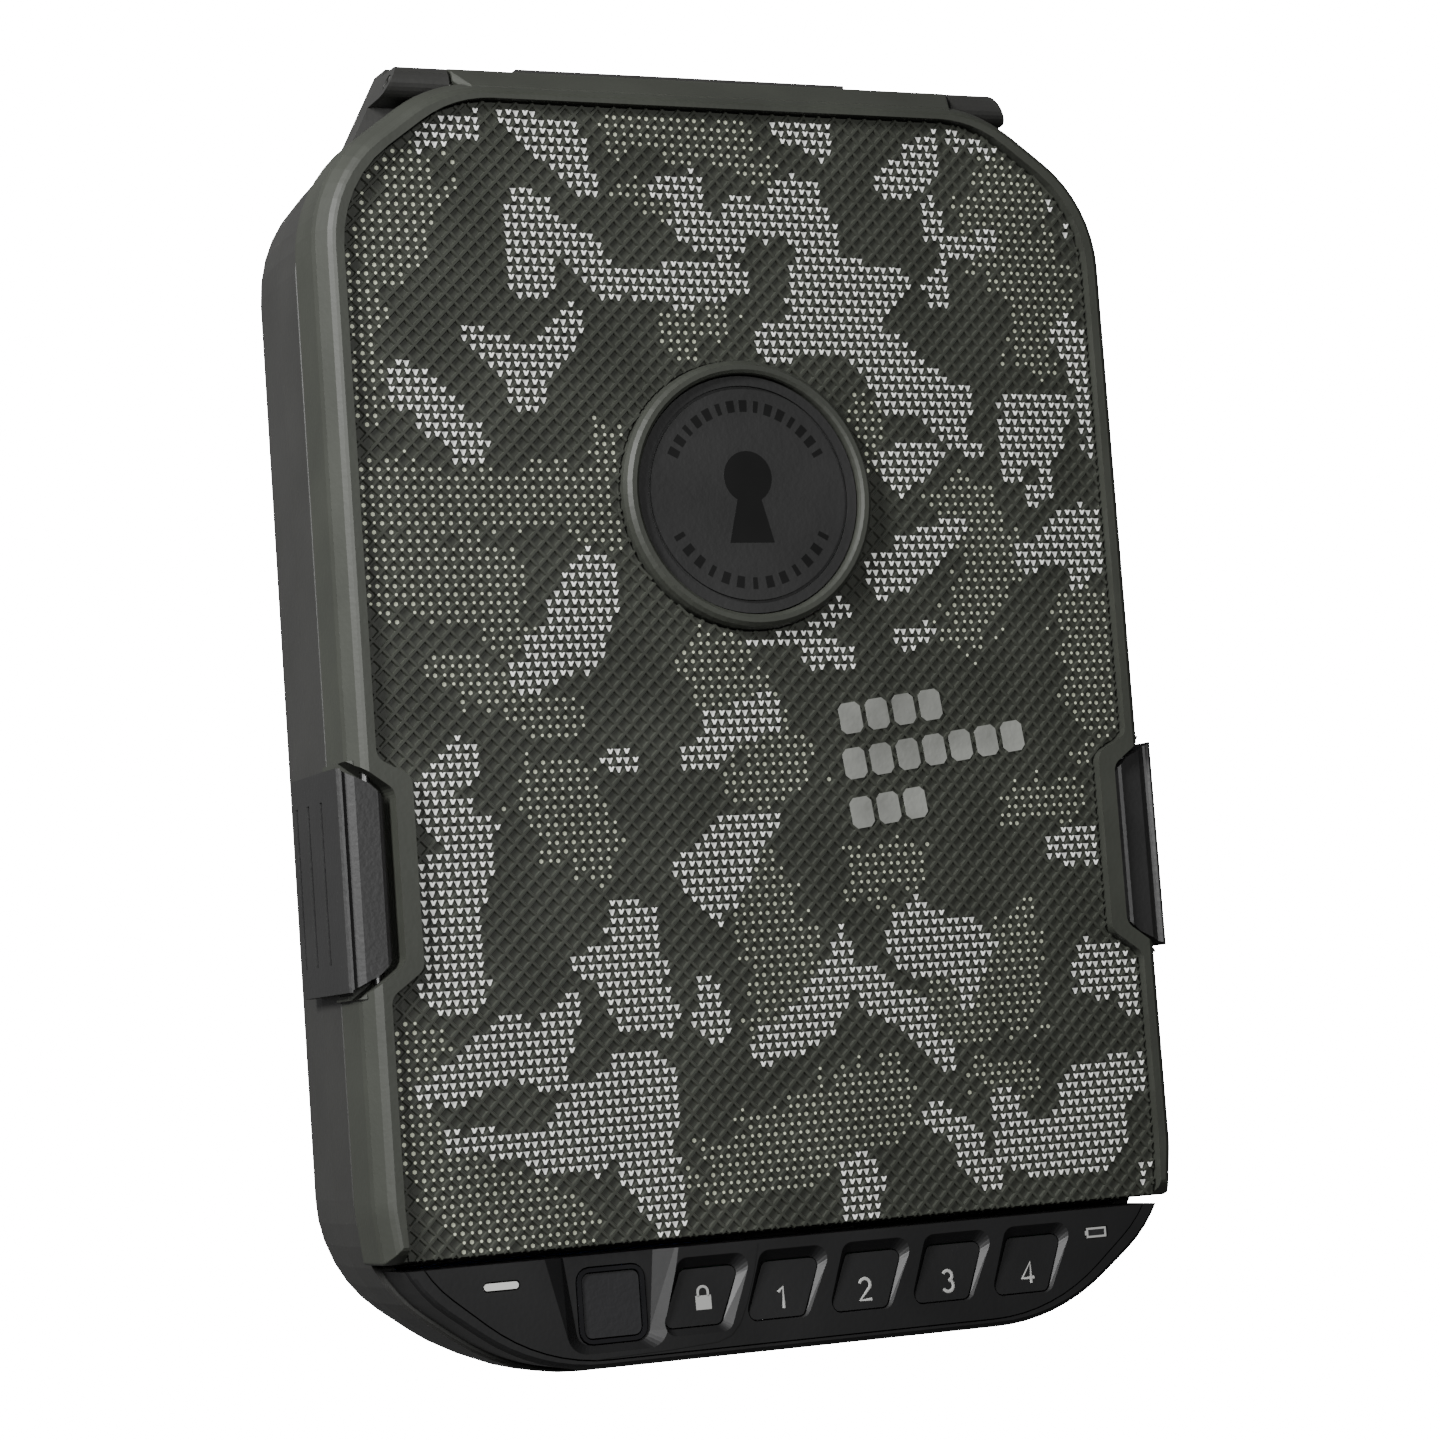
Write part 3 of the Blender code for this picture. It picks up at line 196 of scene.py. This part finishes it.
def simple_material(name, colour, roughness, metallic=0.0, grain=0.0, grain_scale=GRAIN_SCALE, mottle=0.12):
    """Moulded or cast surface: faint colour mottling, uneven gloss and a fine grain bump."""
    material, tree, shader = new_material(name)
    nodes, links = tree.nodes, tree.links
    shader.inputs["Metallic"].default_value = metallic
    place = nodes.new("ShaderNodeTexCoord")
    broad = nodes.new("ShaderNodeTexNoise")
    broad.inputs["Scale"].default_value = MOTTLE_SCALE
    broad.inputs["Detail"].default_value = 4.0
    links.new(place.outputs["Object"], broad.inputs["Vector"])
    ramp = nodes.new("ShaderNodeValToRGB")
    ramp.color_ramp.elements[0].color = (*[c * (1.0 - mottle) for c in colour], 1.0)
    ramp.color_ramp.elements[1].color = (*[min(c * (1.0 + mottle), 1.0) for c in colour], 1.0)
    ramp.color_ramp.elements[0].position = 0.3
    ramp.color_ramp.elements[1].position = 0.7
    links.new(broad.outputs["Fac"], ramp.inputs["Fac"])
    links.new(ramp.outputs["Color"], shader.inputs["Base Color"])
    gloss = nodes.new("ShaderNodeMapRange")
    gloss.inputs["To Min"].default_value = roughness - GLOSS_SWING
    gloss.inputs["To Max"].default_value = roughness + GLOSS_SWING
    links.new(broad.outputs["Fac"], gloss.inputs["Value"])
    links.new(gloss.outputs["Result"], shader.inputs["Roughness"])
    if grain > 0.0:
        fine = nodes.new("ShaderNodeTexNoise")
        fine.inputs["Scale"].default_value = grain_scale
        fine.inputs["Detail"].default_value = 2.0
        links.new(place.outputs["Object"], fine.inputs["Vector"])
        bump = nodes.new("ShaderNodeBump")
        bump.inputs["Strength"].default_value = grain
        bump.inputs["Distance"].default_value = GRAIN_HEIGHT
        links.new(fine.outputs["Fac"], bump.inputs["Height"])
        links.new(bump.outputs["Normal"], shader.inputs["Normal"])
    return material


def mesh_piece(name, verts, faces, material, body):
    """A new visible piece from vertices in metres and faces, riding on a body."""
    mesh = bpy.data.meshes.new(name)
    mesh.from_pydata(verts, [], faces)
    mesh.update()
    piece = bpy.data.objects.new(name, mesh)
    bpy.context.scene.collection.objects.link(piece)
    mesh.materials.append(material)
    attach(piece, body)
    return piece


def prism_faces(start, count):
    """Faces of a closed prism whose bottom and top loops are numbered one after the other."""
    faces = [tuple(start + i for i in reversed(range(count))), tuple(start + count + i for i in range(count))]
    for i in range(count):
        j = (i + 1) % count
        faces.append((start + i, start + j, start + count + j, start + count + i))
    return faces


def linked_copy(node_name, name):
    """A new piece whose mesh is a copy of a CAD node's mesh."""
    piece = bpy.data.objects.new(name, NODES[node_name].data.copy())
    bpy.context.scene.collection.objects.link(piece)
    return piece


def centre_and_top(node_name):
    """Plan centre and top of a CAD node, in millimetres."""
    low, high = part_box(node_name)
    return (low[0] + high[0]) / 2 / MM, (low[1] + high[1]) / 2 / MM, high[2] / MM


def arc(centre_x, centre_y, radius, start, end, steps):
    """Points along an arc, with its ends in degrees."""
    points = []
    for k in range(steps + 1):
        a = math.radians(start + (end - start) * k / steps)
        points.append((centre_x + radius * math.cos(a), centre_y + radius * math.sin(a)))
    return points


class Builder:
    """Gathers many small closed solids into one mesh; sizes go in as millimetres."""

    def __init__(self):
        self.verts = []
        self.faces = []

    def prism(self, outline, low_z, high_z, top_outline=None):
        """A closed solid on a counter-clockwise outline."""
        self.faces += prism_faces(len(self.verts), len(outline))
        for z, loop in ((low_z, outline), (high_z, top_outline or outline)):
            self.verts += [Vector((x, y, z)) * MM for x, y in loop]

    def piece(self, name, material, body, slot):
        return mesh_piece(name, self.verts, self.faces, material, body)


# ---------------------------------------------------------------- materials

OLIVE = (0.030, 0.0325, 0.026)
BLACK = (0.0045, 0.0045, 0.0048)

olive = simple_material("olive plastic", OLIVE, 0.58, grain=0.20)
olive_panel = simple_material("olive panel", (0.034, 0.0365, 0.0295), 0.42, grain=0.20)
grey_shell = simple_material("charcoal plastic", (0.026, 0.026, 0.0245), 0.50, grain=0.20)
black = simple_material("black plastic", BLACK, 0.52, grain=0.10)
badge_black = simple_material("badge black", (0.017, 0.017, 0.017), 0.48, grain=0.25)
latch_black = simple_material("latch plastic", (0.018, 0.018, 0.018), 0.50, grain=0.35)
sensor_black = simple_material("sensor black", (0.007, 0.007, 0.008), 0.62, grain=0.3)
gloss = simple_material("gloss black", (0.010, 0.010, 0.011), 0.25)
lens = simple_material("indicator lens", (0.56, 0.56, 0.54), 0.30, mottle=0.02)
rubber = simple_material("rubber", (0.020, 0.020, 0.021), 0.80, grain=0.4)
foam = simple_material("foam", (0.045, 0.045, 0.046), 0.95, grain=0.8, grain_scale=700.0)
steel = simple_material("steel", (0.60, 0.60, 0.58), 0.35, metallic=1.0, grain=0.1)
dark_steel = simple_material("dark steel", (0.10, 0.10, 0.10), 0.45, metallic=1.0, grain=0.1)
brass = simple_material("brass", (0.70, 0.52, 0.22), 0.35, metallic=1.0, grain=0.1)
board = simple_material("circuit board", (0.015, 0.10, 0.045), 0.45)
wrap = simple_material("battery wrap", (0.04, 0.08, 0.22), 0.35)
light_print = simple_material("light print", (0.93, 0.94, 0.90), 0.50, mottle=0.04)
# Dark ground of the light patches: partly a darker print, partly painted shade in the dark V below each light
# mark.
dark_print_and_shade = simple_material("dark print and painted shade", (0.016, 0.017, 0.013), 0.55, mottle=0.15)
pale_print = simple_material("pale print", (0.52, 0.55, 0.42), 0.55, mottle=0.15)
legend_print = simple_material("legend print", (0.33, 0.33, 0.32), 0.45, mottle=0.05)
block_print = simple_material("block print", (0.18, 0.185, 0.17), 0.60, grain=0.4, mottle=0.35)
mark_black = simple_material("badge mark", (0.004, 0.004, 0.004), 0.40)


def dress_cad_nodes():
    """A material for each CAD node named here, including the foam pads that a looks piece replaces."""
    dress(grey_shell, "base_shell")
    dress(olive, "lid_shell", "badge_ring")
    dress(black, "keypad_housing", "keypad_plate", "lock_cover", "bolt_guide", "battery_holder", "sounder")
    for name in ("lock", "1", "2", "3", "4"):
        dress(black, "key_" + name, "switch_" + name)
    dress(badge_black, "badge_disc")
    dress(latch_black, "latch_left", "latch_right")
    dress(sensor_black, "fingerprint_sensor", "battery_light")
    dress(gloss, "sensor_bezel")
    dress(lens, "status_light")
    dress(rubber, "rim_gasket", "foot_front_left", "foot_front_right", "foot_rear_left", "foot_rear_right",
          "port_cover")
    dress(foam, "base_foam", "lid_foam")
    dress(steel, "hinge_pin_left", "hinge_pin_right", "cover_screw_left", "cover_screw_right", "striker",
          "striker_screw_left", "striker_screw_right", "lock_motor", "lock_bolt", "key_cylinder", "key_cam",
          "charging_port")
    dress(dark_steel, "latch_pin_left", "latch_pin_right")
    dress(brass, "key_plug", "lead_screw")
    dress(board, "control_board")
    dress(wrap, "battery_cell")


# ---------------------------------------------------------------- knurled panel

class PanelFace:
    """Plan of the lid panel's face, read from the CAD plate: its border edges in millimetres."""

    def __init__(self):
        mesh = NODES["lid_panel"].data
        self.top = max(vert.co.z for vert in mesh.vertices) / MM
        used = {}
        for polygon in mesh.polygons:
            points = [mesh.vertices[i].co / MM for i in polygon.vertices]
            if min(point.z for point in points) < self.top - TOUCH:
                continue
            corners = [(round(point.x, 3), round(point.y, 3)) for point in points]
            for pair in zip(corners, corners[1:] + corners[:1]):
                key = tuple(sorted(pair))
                used[key] = used.get(key, 0) + 1
        self.edges = [(*start, *end) for (start, end), count in used.items() if count == 1]

    def spans(self, origin, direction):
        """Stretches of a line that lie on the face, as pairs of distances from its origin."""
        hits = []
        for x0, y0, x1, y1 in self.edges:
            side_0 = direction[0] * (y0 - origin[1]) - direction[1] * (x0 - origin[0])
            side_1 = direction[0] * (y1 - origin[1]) - direction[1] * (x1 - origin[0])
            if (side_0 >= 0.0) == (side_1 >= 0.0):
                continue
            part = side_0 / (side_0 - side_1)
            x, y = x0 + part * (x1 - x0), y0 + part * (y1 - y0)
            hits.append(direction[0] * (x - origin[0]) + direction[1] * (y - origin[1]))
        hits.sort()
        return [(hits[i], hits[i + 1]) for i in range(0, len(hits) - 1, 2)]

    def room(self, x, y):
        """Distance from a point to the border, negative off the face."""
        nearest = math.inf
        inside = False
        for x0, y0, x1, y1 in self.edges:
            nearest = min(nearest, along_segment(x, y, x0, y0, x1, y1)[1])
            if (y0 > y) != (y1 > y) and x < x0 + (y - y0) / (y1 - y0) * (x1 - x0):
                inside = not inside
        return nearest if inside else -nearest


def along_segment(x, y, x0, y0, x1, y1):
    """Where a segment is nearest to a point, as a part of its length, and the distance there."""
    length_squared = (x1 - x0) ** 2 + (y1 - y0) ** 2
    part = 0.0
    if length_squared > 0.0:
        part = max(0.0, min(1.0, ((x - x0) * (x1 - x0) + (y - y0) * (y1 - y0)) / length_squared))
    return part, math.hypot(x - x0 - part * (x1 - x0), y - y0 - part * (y1 - y0))


def make_panel_floor(face):
    """The panel's plate with its face lowered to the bottom of the knurl."""
    piece = linked_copy("lid_panel", "panel_plate")
    for vert in piece.data.vertices:
        if vert.co.z / MM > face.top - TOUCH:
            vert.co.z -= KNURL_DEPTH * MM
    piece.data.materials.clear()
    piece.data.materials.append(olive_panel)
    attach(piece, "lid")
    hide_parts("lid_panel")


def make_ridges(face):
    """Two sets of straight ridges that cross and enclose the diamonds."""
    length = math.hypot(HALF_PITCH_X, HALF_PITCH_Y)
    build = Builder()
    for slope in (1, -1):
        direction = (HALF_PITCH_X / length, slope * HALF_PITCH_Y / length)
        across = (-direction[1], direction[0])
        top = face.top - (0.0 if slope > 0 else PRINT_LIFT)
        for step in range(-RIDGE_REACH, RIDGE_REACH + 1):
            origin = ((2 * step + 1) * HALF_PITCH_X, 0.0)
            for start, end in face.spans(origin, direction):
                if end - start < RIDGE_FOOT:
                    continue
                foot, crest = [[(origin[0] + direction[0] * t + across[0] * side * width / 2,
                                 origin[1] + direction[1] * t + across[1] * side * width / 2)
                                for t, side in ((start, -1), (end, -1), (end, 1), (start, 1))]
                               for width in (RIDGE_FOOT, RIDGE_TOP)]
                build.prism(foot, face.top - KNURL_DEPTH - SINK, top, crest)
    build.piece("panel_knurl", olive_panel, "lid", "textured_panel")


def stroke_reach(x, y, strokes):
    """How deep a point lies inside the nearest of a set of brush strokes."""
    best = -math.inf
    for stroke in strokes:
        for (x0, y0, r0), (x1, y1, r1) in zip(stroke, stroke[1:]):
            part, away = along_segment(x, y, x0, y0, x1, y1)
            best = max(best, r0 + part * (r1 - r0) - away)
    return best


STROKE_MARGIN = 0.3              # marks whose centre lies this far outside a stroke still belong to it
BROAD_WOBBLE = 0.23              # noise cells per millimetre
FINE_WOBBLE = 0.6


def ragged(x, y, strokes, spread):
    """True inside the strokes, whose borders wander by about the spread."""
    broad = noise.noise(Vector((x * BROAD_WOBBLE, y * BROAD_WOBBLE, 3.0)))
    fine = noise.noise(Vector((x * FINE_WOBBLE, y * FINE_WOBBLE, 7.0)))
    return stroke_reach(x, y, strokes) + STROKE_MARGIN + spread * (broad + 0.5 * fine) > 0.0


# Outlines of a light mark: on the floor of a diamond, and over a crossing of ridges
TRIANGLE = [(-0.68, 0.46), (-0.14, -0.74), (0.14, -0.74), (0.68, 0.46)]
FORK = [(-0.62, 0.44), (-0.26, -0.56), (0.14, -0.56), (0.66, 0.44), (0.28, 0.44), (0.02, 0.14), (-0.20, 0.44)]


def make_print(face):
    """Camouflage on the knurl: a mark at each half pitch inside a stroke, the light ones on a dark ground
    that is partly print and partly painted shade below the mark.
    """
    light, dark, pale = Builder(), Builder(), Builder()
    columns = int(PRINT_SPAN[0] / HALF_PITCH_X)
    rows = int(PRINT_SPAN[1] / HALF_PITCH_Y)
    for i in range(-columns, columns + 1):
        for j in range(-rows, rows + 1):
            x, y = i * HALF_PITCH_X, j * HALF_PITCH_Y
            if face.room(x, y) < PRINT_ROOM:
                continue
            on_floor = (i + j) % 2 == 0
            level = face.top - KNURL_DEPTH if on_floor else face.top
            if ragged(x, y, LIGHT_STROKES, LIGHT_SPREAD):
                # Dark diamond under the light mark: darker ground, and painted shade where it shows as a V
                # below the mark's lower sides.
                reach = FLOOR_REACH if on_floor else CROSSING_REACH
                dark.prism([(x, y - reach), (x + reach, y), (x, y + reach), (x - reach, y)], level - SINK,
                           level + PRINT_LIFT)
                shape = TRIANGLE if on_floor else FORK
                light.prism([(x + dx, y + dy) for dx, dy in shape], level, level + 2 * PRINT_LIFT)
            elif ragged(x, y, DOTTED_STROKES, DOTTED_SPREAD):
                dot = arc(x, y, FLOOR_DOT if on_floor else CROSSING_DOT, 30, 330, 5)
                pale.prism(dot, level - SINK, level + PRINT_LIFT)
    light.piece("camouflage_light", light_print, "lid", "textured_panel")
    dark.piece("camouflage_ground_and_shade", dark_print_and_shade, "lid", "textured_panel")
    pale.piece("camouflage_dots", pale_print, "lid", "textured_panel")


# ---------------------------------------------------------------- foam

# Foam pads: CAD node, body, whether the open side faces up, pitch and depth of the pillows in millimetres
FOAM_PADS = [("base_foam", "base", True, 9.0, 0.8),
             ("lid_foam", "lid", False, 14.0, 3.0)]
CUTS_PER_PITCH = 6
WELD = 1e-6                      # metres


def make_foam(node_name, body, open_up, pitch, depth):
    """Foam pad with the soft pillows of an egg crate on its open side, cut down from the pad's own block."""
    piece = linked_copy(node_name, node_name + "_pad")
    low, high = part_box(node_name)
    mesh = bmesh.new()
    mesh.from_mesh(piece.data)
    bmesh.ops.remove_doubles(mesh, verts=mesh.verts[:], dist=WELD)
    for axis, normal in ((0, (1, 0, 0)), (1, (0, 1, 0))):
        cuts = int((high[axis] - low[axis]) / MM / (pitch / CUTS_PER_PITCH)) + 1
        for k in range(1, cuts):
            place = [0.0, 0.0, 0.0]
            place[axis] = low[axis] + (high[axis] - low[axis]) * k / cuts
            bmesh.ops.bisect_plane(mesh, geom=mesh.verts[:] + mesh.edges[:] + mesh.faces[:], plane_co=place,
                                   plane_no=normal, dist=1e-7)
    face_z = high[2] if open_up else low[2]
    border = [edge for edge in mesh.edges if len({abs(f.normal.z) > 0.9 for f in edge.link_faces}) > 1]
    rim = {vert for edge in border for vert in edge.verts}
    for vert in mesh.verts:
        if abs(vert.co.z - face_z) > WELD or vert in rim:
            continue
        wave = math.sin(vert.co.x / MM * math.tau / pitch) * math.sin(vert.co.y / MM * math.tau / pitch)
        drop = depth * MM * (0.5 - 0.5 * wave)
        vert.co.z += -drop if open_up else drop
    mesh.to_mesh(piece.data)
    mesh.free()
    for polygon in piece.data.polygons:
        polygon.use_smooth = True
    piece.data.materials.clear()
    piece.data.materials.append(foam)
    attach(piece, body)
    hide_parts(node_name)


# ---------------------------------------------------------------- badge

DASH_ARCS = [(28, 152, 15), (208, 332, 13)]      # first and last dash in degrees, count
DASH_RADII = (17.2, 19.6)        # millimetres
WIDE_DASH = 2.6                  # half widths in degrees
NARROW_DASH = 1.6
KEYHOLE_RADIUS = 5.4             # millimetres
KEYHOLE_RISE = 3.6
KEYHOLE_FOOT = (5.0, -10.0)
BADGE_SINK = 0.10
BADGE_LIFT = 0.06


def make_badge_marks():
    """Plain marks on the disc: a ring of short dashes and a keyhole."""
    x, y, top = centre_and_top("badge_disc")
    inner, outer = DASH_RADII
    build = Builder()
    for first, last, count in DASH_ARCS:
        for k in range(count):
            middle = first + (last - first) * k / (count - 1)
            half = WIDE_DASH if k % 3 else NARROW_DASH
            far_side = arc(x, y, outer, middle - half, middle + half, 1)
            near_side = arc(x, y, inner, middle + half, middle - half, 1)
            build.prism(far_side + near_side, top - BADGE_SINK, top + BADGE_LIFT)
    hole = arc(x, y + KEYHOLE_RISE, KEYHOLE_RADIUS, -60, 240, 24)
    hole += [(x - KEYHOLE_FOOT[0], y + KEYHOLE_FOOT[1]), (x + KEYHOLE_FOOT[0], y + KEYHOLE_FOOT[1])]
    build.prism(hole, top - BADGE_SINK, top + BADGE_LIFT)
    build.piece("badge_marks", mark_black, "lid", "black_plastic")


# ---------------------------------------------------------------- block print

BLOCK_ROWS = [(17.6, -5.4, 4), (17.8, -14.8, 7), (18.6, -25.0, 3)]      # left end, height, blocks
BLOCK_TURN = 7.0                 # degrees
BLOCK_WIDE = 5.1
BLOCK_TALL = 6.4
BLOCK_CORNER = 1.0               # cut off each corner
BLOCK_PITCH = 6.3
BLOCK_SINK = 0.10


def make_block_print(face):
    """Three rows of plain blocks printed over the knurl, in the place of a slogan."""
    build = Builder()
    c, s = math.cos(math.radians(BLOCK_TURN)), math.sin(math.radians(BLOCK_TURN))
    half_x, half_y = BLOCK_WIDE / 2, BLOCK_TALL / 2
    in_x, in_y = half_x - BLOCK_CORNER, half_y - BLOCK_CORNER
    plan = [(-in_x, -half_y), (in_x, -half_y), (half_x, -in_y), (half_x, in_y),
            (in_x, half_y), (-in_x, half_y), (-half_x, in_y), (-half_x, -in_y)]
    for left, middle, count in BLOCK_ROWS:
        for k in range(count):
            x = left + half_x + k * BLOCK_PITCH * c
            y = middle + k * BLOCK_PITCH * s
            build.prism([(x + px * c - py * s, y + px * s + py * c) for px, py in plan],
                        face.top - BLOCK_SINK, face.top + 2 * PRINT_LIFT)
    build.piece("block_print", block_print, "lid", "textured_panel")


# ---------------------------------------------------------------- keypad legends

LEGEND_LIFT = 0.04               # millimetres over the key's face
LEVEL_ENOUGH = 0.8               # least upward part of the normal of a key's top face


def key_face(node_name):
    """Centre, normal and in-face directions of a key's leaning top face."""
    mesh = NODES[node_name].data
    best = max((p for p in mesh.polygons if p.normal.z > LEVEL_ENOUGH), key=lambda p: p.area)
    normal = best.normal.normalized()
    right = Vector((1, 0, 0))
    right = (right - normal * right.dot(normal)).normalized()
    return best.center.copy(), normal, right, normal.cross(right)


def place_on_key(outline_sets, node_name, body, name, shift):
    """Thin printed shapes on a key's face, from outlines in millimetres about the legend's centre."""
    centre, normal, right, up = key_face(node_name)
    origin = centre + right * (shift[0] * MM) + up * (shift[1] * MM)
    verts, faces = [], []
    for outline in outline_sets:
        faces += prism_faces(len(verts), len(outline))
        for lift in (-SINK, LEGEND_LIFT):
            verts += [origin + right * (x * MM) + up * (y * MM) + normal * (lift * MM) for x, y in outline]
    return mesh_piece(name, verts, faces, legend_print, body)


DIGIT_STROKES = {
    "1": [[(-0.95, 1.15), (0.15, 2.1), (0.15, -2.1)]],
    "2": [arc(0.0, 0.95, 1.2, 165, -35, 10) + [(-1.3, -2.1), (1.35, -2.1)]],
    "3": [arc(0.0, 1.05, 1.05, 155, -80, 10), arc(0.0, -0.95, 1.2, 80, -155, 12)],
    "4": [[(0.65, -2.1), (0.65, 2.1), (-1.45, -1.0), (1.4, -1.0)]],
}
DIGIT_CENTRE_X = {"1": -4.5, "2": 14.1, "3": 33.1, "4": 51.9}
LEGEND_Y = -121.9
LEGEND_LEAN = 0.05
STROKE_RADIUS = 0.36
STROKE_FLATNESS = 0.2            # height of a digit's stroke as a part of its round section
PADLOCK_SHIFT = (-1.4, -1.9)


def make_digit(digit):
    """A digit in one even stroke, lying on the sloping face of its key."""
    curve = bpy.data.curves.new("digit_" + digit, "CURVE")
    curve.dimensions = "3D"
    curve.bevel_depth = STROKE_RADIUS
    curve.bevel_resolution = 2
    curve.use_fill_caps = True
    for stroke in DIGIT_STROKES[digit]:
        spline = curve.splines.new("POLY")
        spline.points.add(len(stroke) - 1)
        for point, (x, y) in zip(spline.points, stroke):
            point.co = (x + LEGEND_LEAN * y, y, 0.0, 1.0)
    source = bpy.data.objects.new("digit_" + digit, curve)
    bpy.context.scene.collection.objects.link(source)
    bpy.context.view_layer.update()
    mesh = bpy.data.meshes.new_from_object(source.evaluated_get(bpy.context.evaluated_depsgraph_get()))
    bpy.data.objects.remove(source)
    centre, normal, right, up = key_face("key_" + digit)
    place = Vector((DIGIT_CENTRE_X[digit] * MM, LEGEND_Y * MM, centre.z))
    place.z -= (place - centre).dot(normal) / normal.z
    for vert in mesh.vertices:
        x, y, z = vert.co * MM
        vert.co = place + right * x + up * y + normal * (z * STROKE_FLATNESS)
    piece = bpy.data.objects.new("legend_" + digit, mesh)
    bpy.context.scene.collection.objects.link(piece)
    mesh.materials.clear()
    mesh.materials.append(legend_print)
    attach(piece, "button_" + digit)


def make_padlock_icon():
    """A shut padlock on the lock key."""
    body = [(-1.7, -2.4), (1.7, -2.4), (1.7, 0.4), (-1.7, 0.4)]
    shackle = arc(0, 1.1, 1.35, 0, 180, 12) + [(-1.35, 0.2), (-0.85, 0.2)] + arc(0, 1.1, 0.85, 180, 0, 12)
    shackle += [(0.85, 0.2), (1.35, 0.2)]
    place_on_key([body, shackle], "key_lock", "button_lock", "legend_lock", PADLOCK_SHIFT)


SEAM_PATH = [(-9.4, -110.6), (-10.6, -116.0), (-12.6, -122.0), (-14.4, -126.0), (-16.6, -128.3),
             (-19.6, -129.3), (-30.0, -129.9), (-46.0, -130.3)]
SEAM_WIDTH = 0.18
SEAM_LIFT = 0.01


def make_keypad_seam():
    """Fine seam of the keypad plate: from the lid, round the lock key and in front of the sensor."""
    top = centre_and_top("keypad_plate")[2]
    build = Builder()
    for (x0, y0), (x1, y1) in zip(SEAM_PATH, SEAM_PATH[1:]):
        run = Vector((x1 - x0, y1 - y0)).normalized() * (SEAM_WIDTH / 2)
        build.prism([(x1 - run.y, y1 + run.x), (x1 + run.y, y1 - run.x), (x0 + run.y, y0 - run.x),
                     (x0 - run.y, y0 + run.x)], top - SINK, top + SEAM_LIFT)
    build.piece("keypad_seam", mark_black, "base", "black_plastic")


BATTERY_HALF = (2.35, 1.05)
BATTERY_LINE = 0.42
BATTERY_TIP = (0.7, 0.45)        # length and half height of the knob on its end


def make_battery_icon():
    """Outline of a battery over the battery light."""
    x, y, top = centre_and_top("battery_light")
    wide, tall = BATTERY_HALF
    in_x, in_y = wide - BATTERY_LINE, tall - BATTERY_LINE
    tip_x, tip_y = BATTERY_TIP
    build = Builder()
    bars = [(-wide, in_y, wide, tall), (-wide, -tall, wide, -in_y), (in_x, -in_y, wide, in_y),
            (-wide, -in_y, -in_x, in_y), (-wide - tip_x, -tip_y, -wide, tip_y)]
    for x0, y0, x1, y1 in bars:
        build.prism([(x + x0, y + y0), (x + x1, y + y0), (x + x1, y + y1), (x + x0, y + y1)],
                    top - SINK, top + SINK)
    build.piece("battery_icon", legend_print, "base", "indicator_lens")


# ---------------------------------------------------------------- stage, light and camera

def make_floor():
    """Pale floor: it glows where the camera sees it and stays a dull bounce for everything else."""
    bpy.ops.mesh.primitive_plane_add(size=FLOOR_SIZE, location=(0, 0, 0))
    floor = bpy.context.object
    floor.name = "floor"
    material, tree, shader = new_material("pale floor")
    nodes, links = tree.nodes, tree.links
    shader.inputs["Base Color"].default_value = (*[FLOOR_BOUNCE] * 3, 1.0)
    shader.inputs["Roughness"].default_value = 1.0
    seen = nodes.new("ShaderNodeEmission")
    seen.inputs["Strength"].default_value = FLOOR_GLOW
    path = nodes.new("ShaderNodeLightPath")
    mix = nodes.new("ShaderNodeMixShader")
    links.new(path.outputs["Is Camera Ray"], mix.inputs[0])
    links.new(shader.outputs["BSDF"], mix.inputs[1])
    links.new(seen.outputs["Emission"], mix.inputs[2])
    links.new(mix.outputs["Shader"], nodes["Material Output"].inputs["Surface"])
    floor.data.materials.append(material)


def make_area_light(name, place, size, power):
    """A square soft light aimed at the safe."""
    light = bpy.data.lights.new(name, "AREA")
    light.shape = "SQUARE"
    light.size = size
    light.energy = power
    lamp = bpy.data.objects.new(name, light)
    lamp.location = place
    lamp.rotation_euler = (Vector(LIGHT_TARGET) - Vector(place)).to_track_quat("-Z", "Y").to_euler()
    bpy.context.scene.collection.objects.link(lamp)


def make_world():
    """Pale surroundings to the camera, and almost no light from them."""
    world = bpy.data.worlds.new("studio")
    world.use_nodes = True
    nodes, links = world.node_tree.nodes, world.node_tree.links
    nodes["Background"].inputs["Color"].default_value = (1.0, 1.0, 1.0, 1.0)
    path = nodes.new("ShaderNodeLightPath")
    seen = nodes.new("ShaderNodeMath")
    seen.operation = "MULTIPLY_ADD"
    links.new(path.outputs["Is Camera Ray"], seen.inputs[0])
    seen.inputs[1].default_value = FLOOR_GLOW
    seen.inputs[2].default_value = WORLD_LIGHT
    links.new(seen.outputs["Value"], nodes["Background"].inputs["Strength"])
    bpy.context.scene.world = world


def make_camera():
    """Camera from its place, its right-hand direction and its upward direction."""
    data = bpy.data.cameras.new("camera")
    data.lens = CAMERA_LENS
    data.sensor_width = 36.0
    camera = bpy.data.objects.new("camera", data)
    right, up = Vector(CAMERA_RIGHT).normalized(), Vector(CAMERA_UP)
    back = right.cross(up).normalized()
    up = back.cross(right)
    turn = Matrix((right, up, back)).transposed().to_4x4()
    camera.matrix_world = Matrix.Translation(CAMERA_PLACE) @ turn
    bpy.context.scene.collection.objects.link(camera)
    bpy.context.scene.camera = camera


make_camera()
make_floor()
make_world()
for light_row in LIGHTS:
    make_area_light(*light_row)
dress_cad_nodes()
panel_face = PanelFace()
make_panel_floor(panel_face)
make_ridges(panel_face)
make_print(panel_face)
make_block_print(panel_face)
for pad in FOAM_PADS:
    make_foam(*pad)
make_badge_marks()
for digit in "1234":
    make_digit(digit)
make_padlock_icon()
make_keypad_seam()
make_battery_icon()
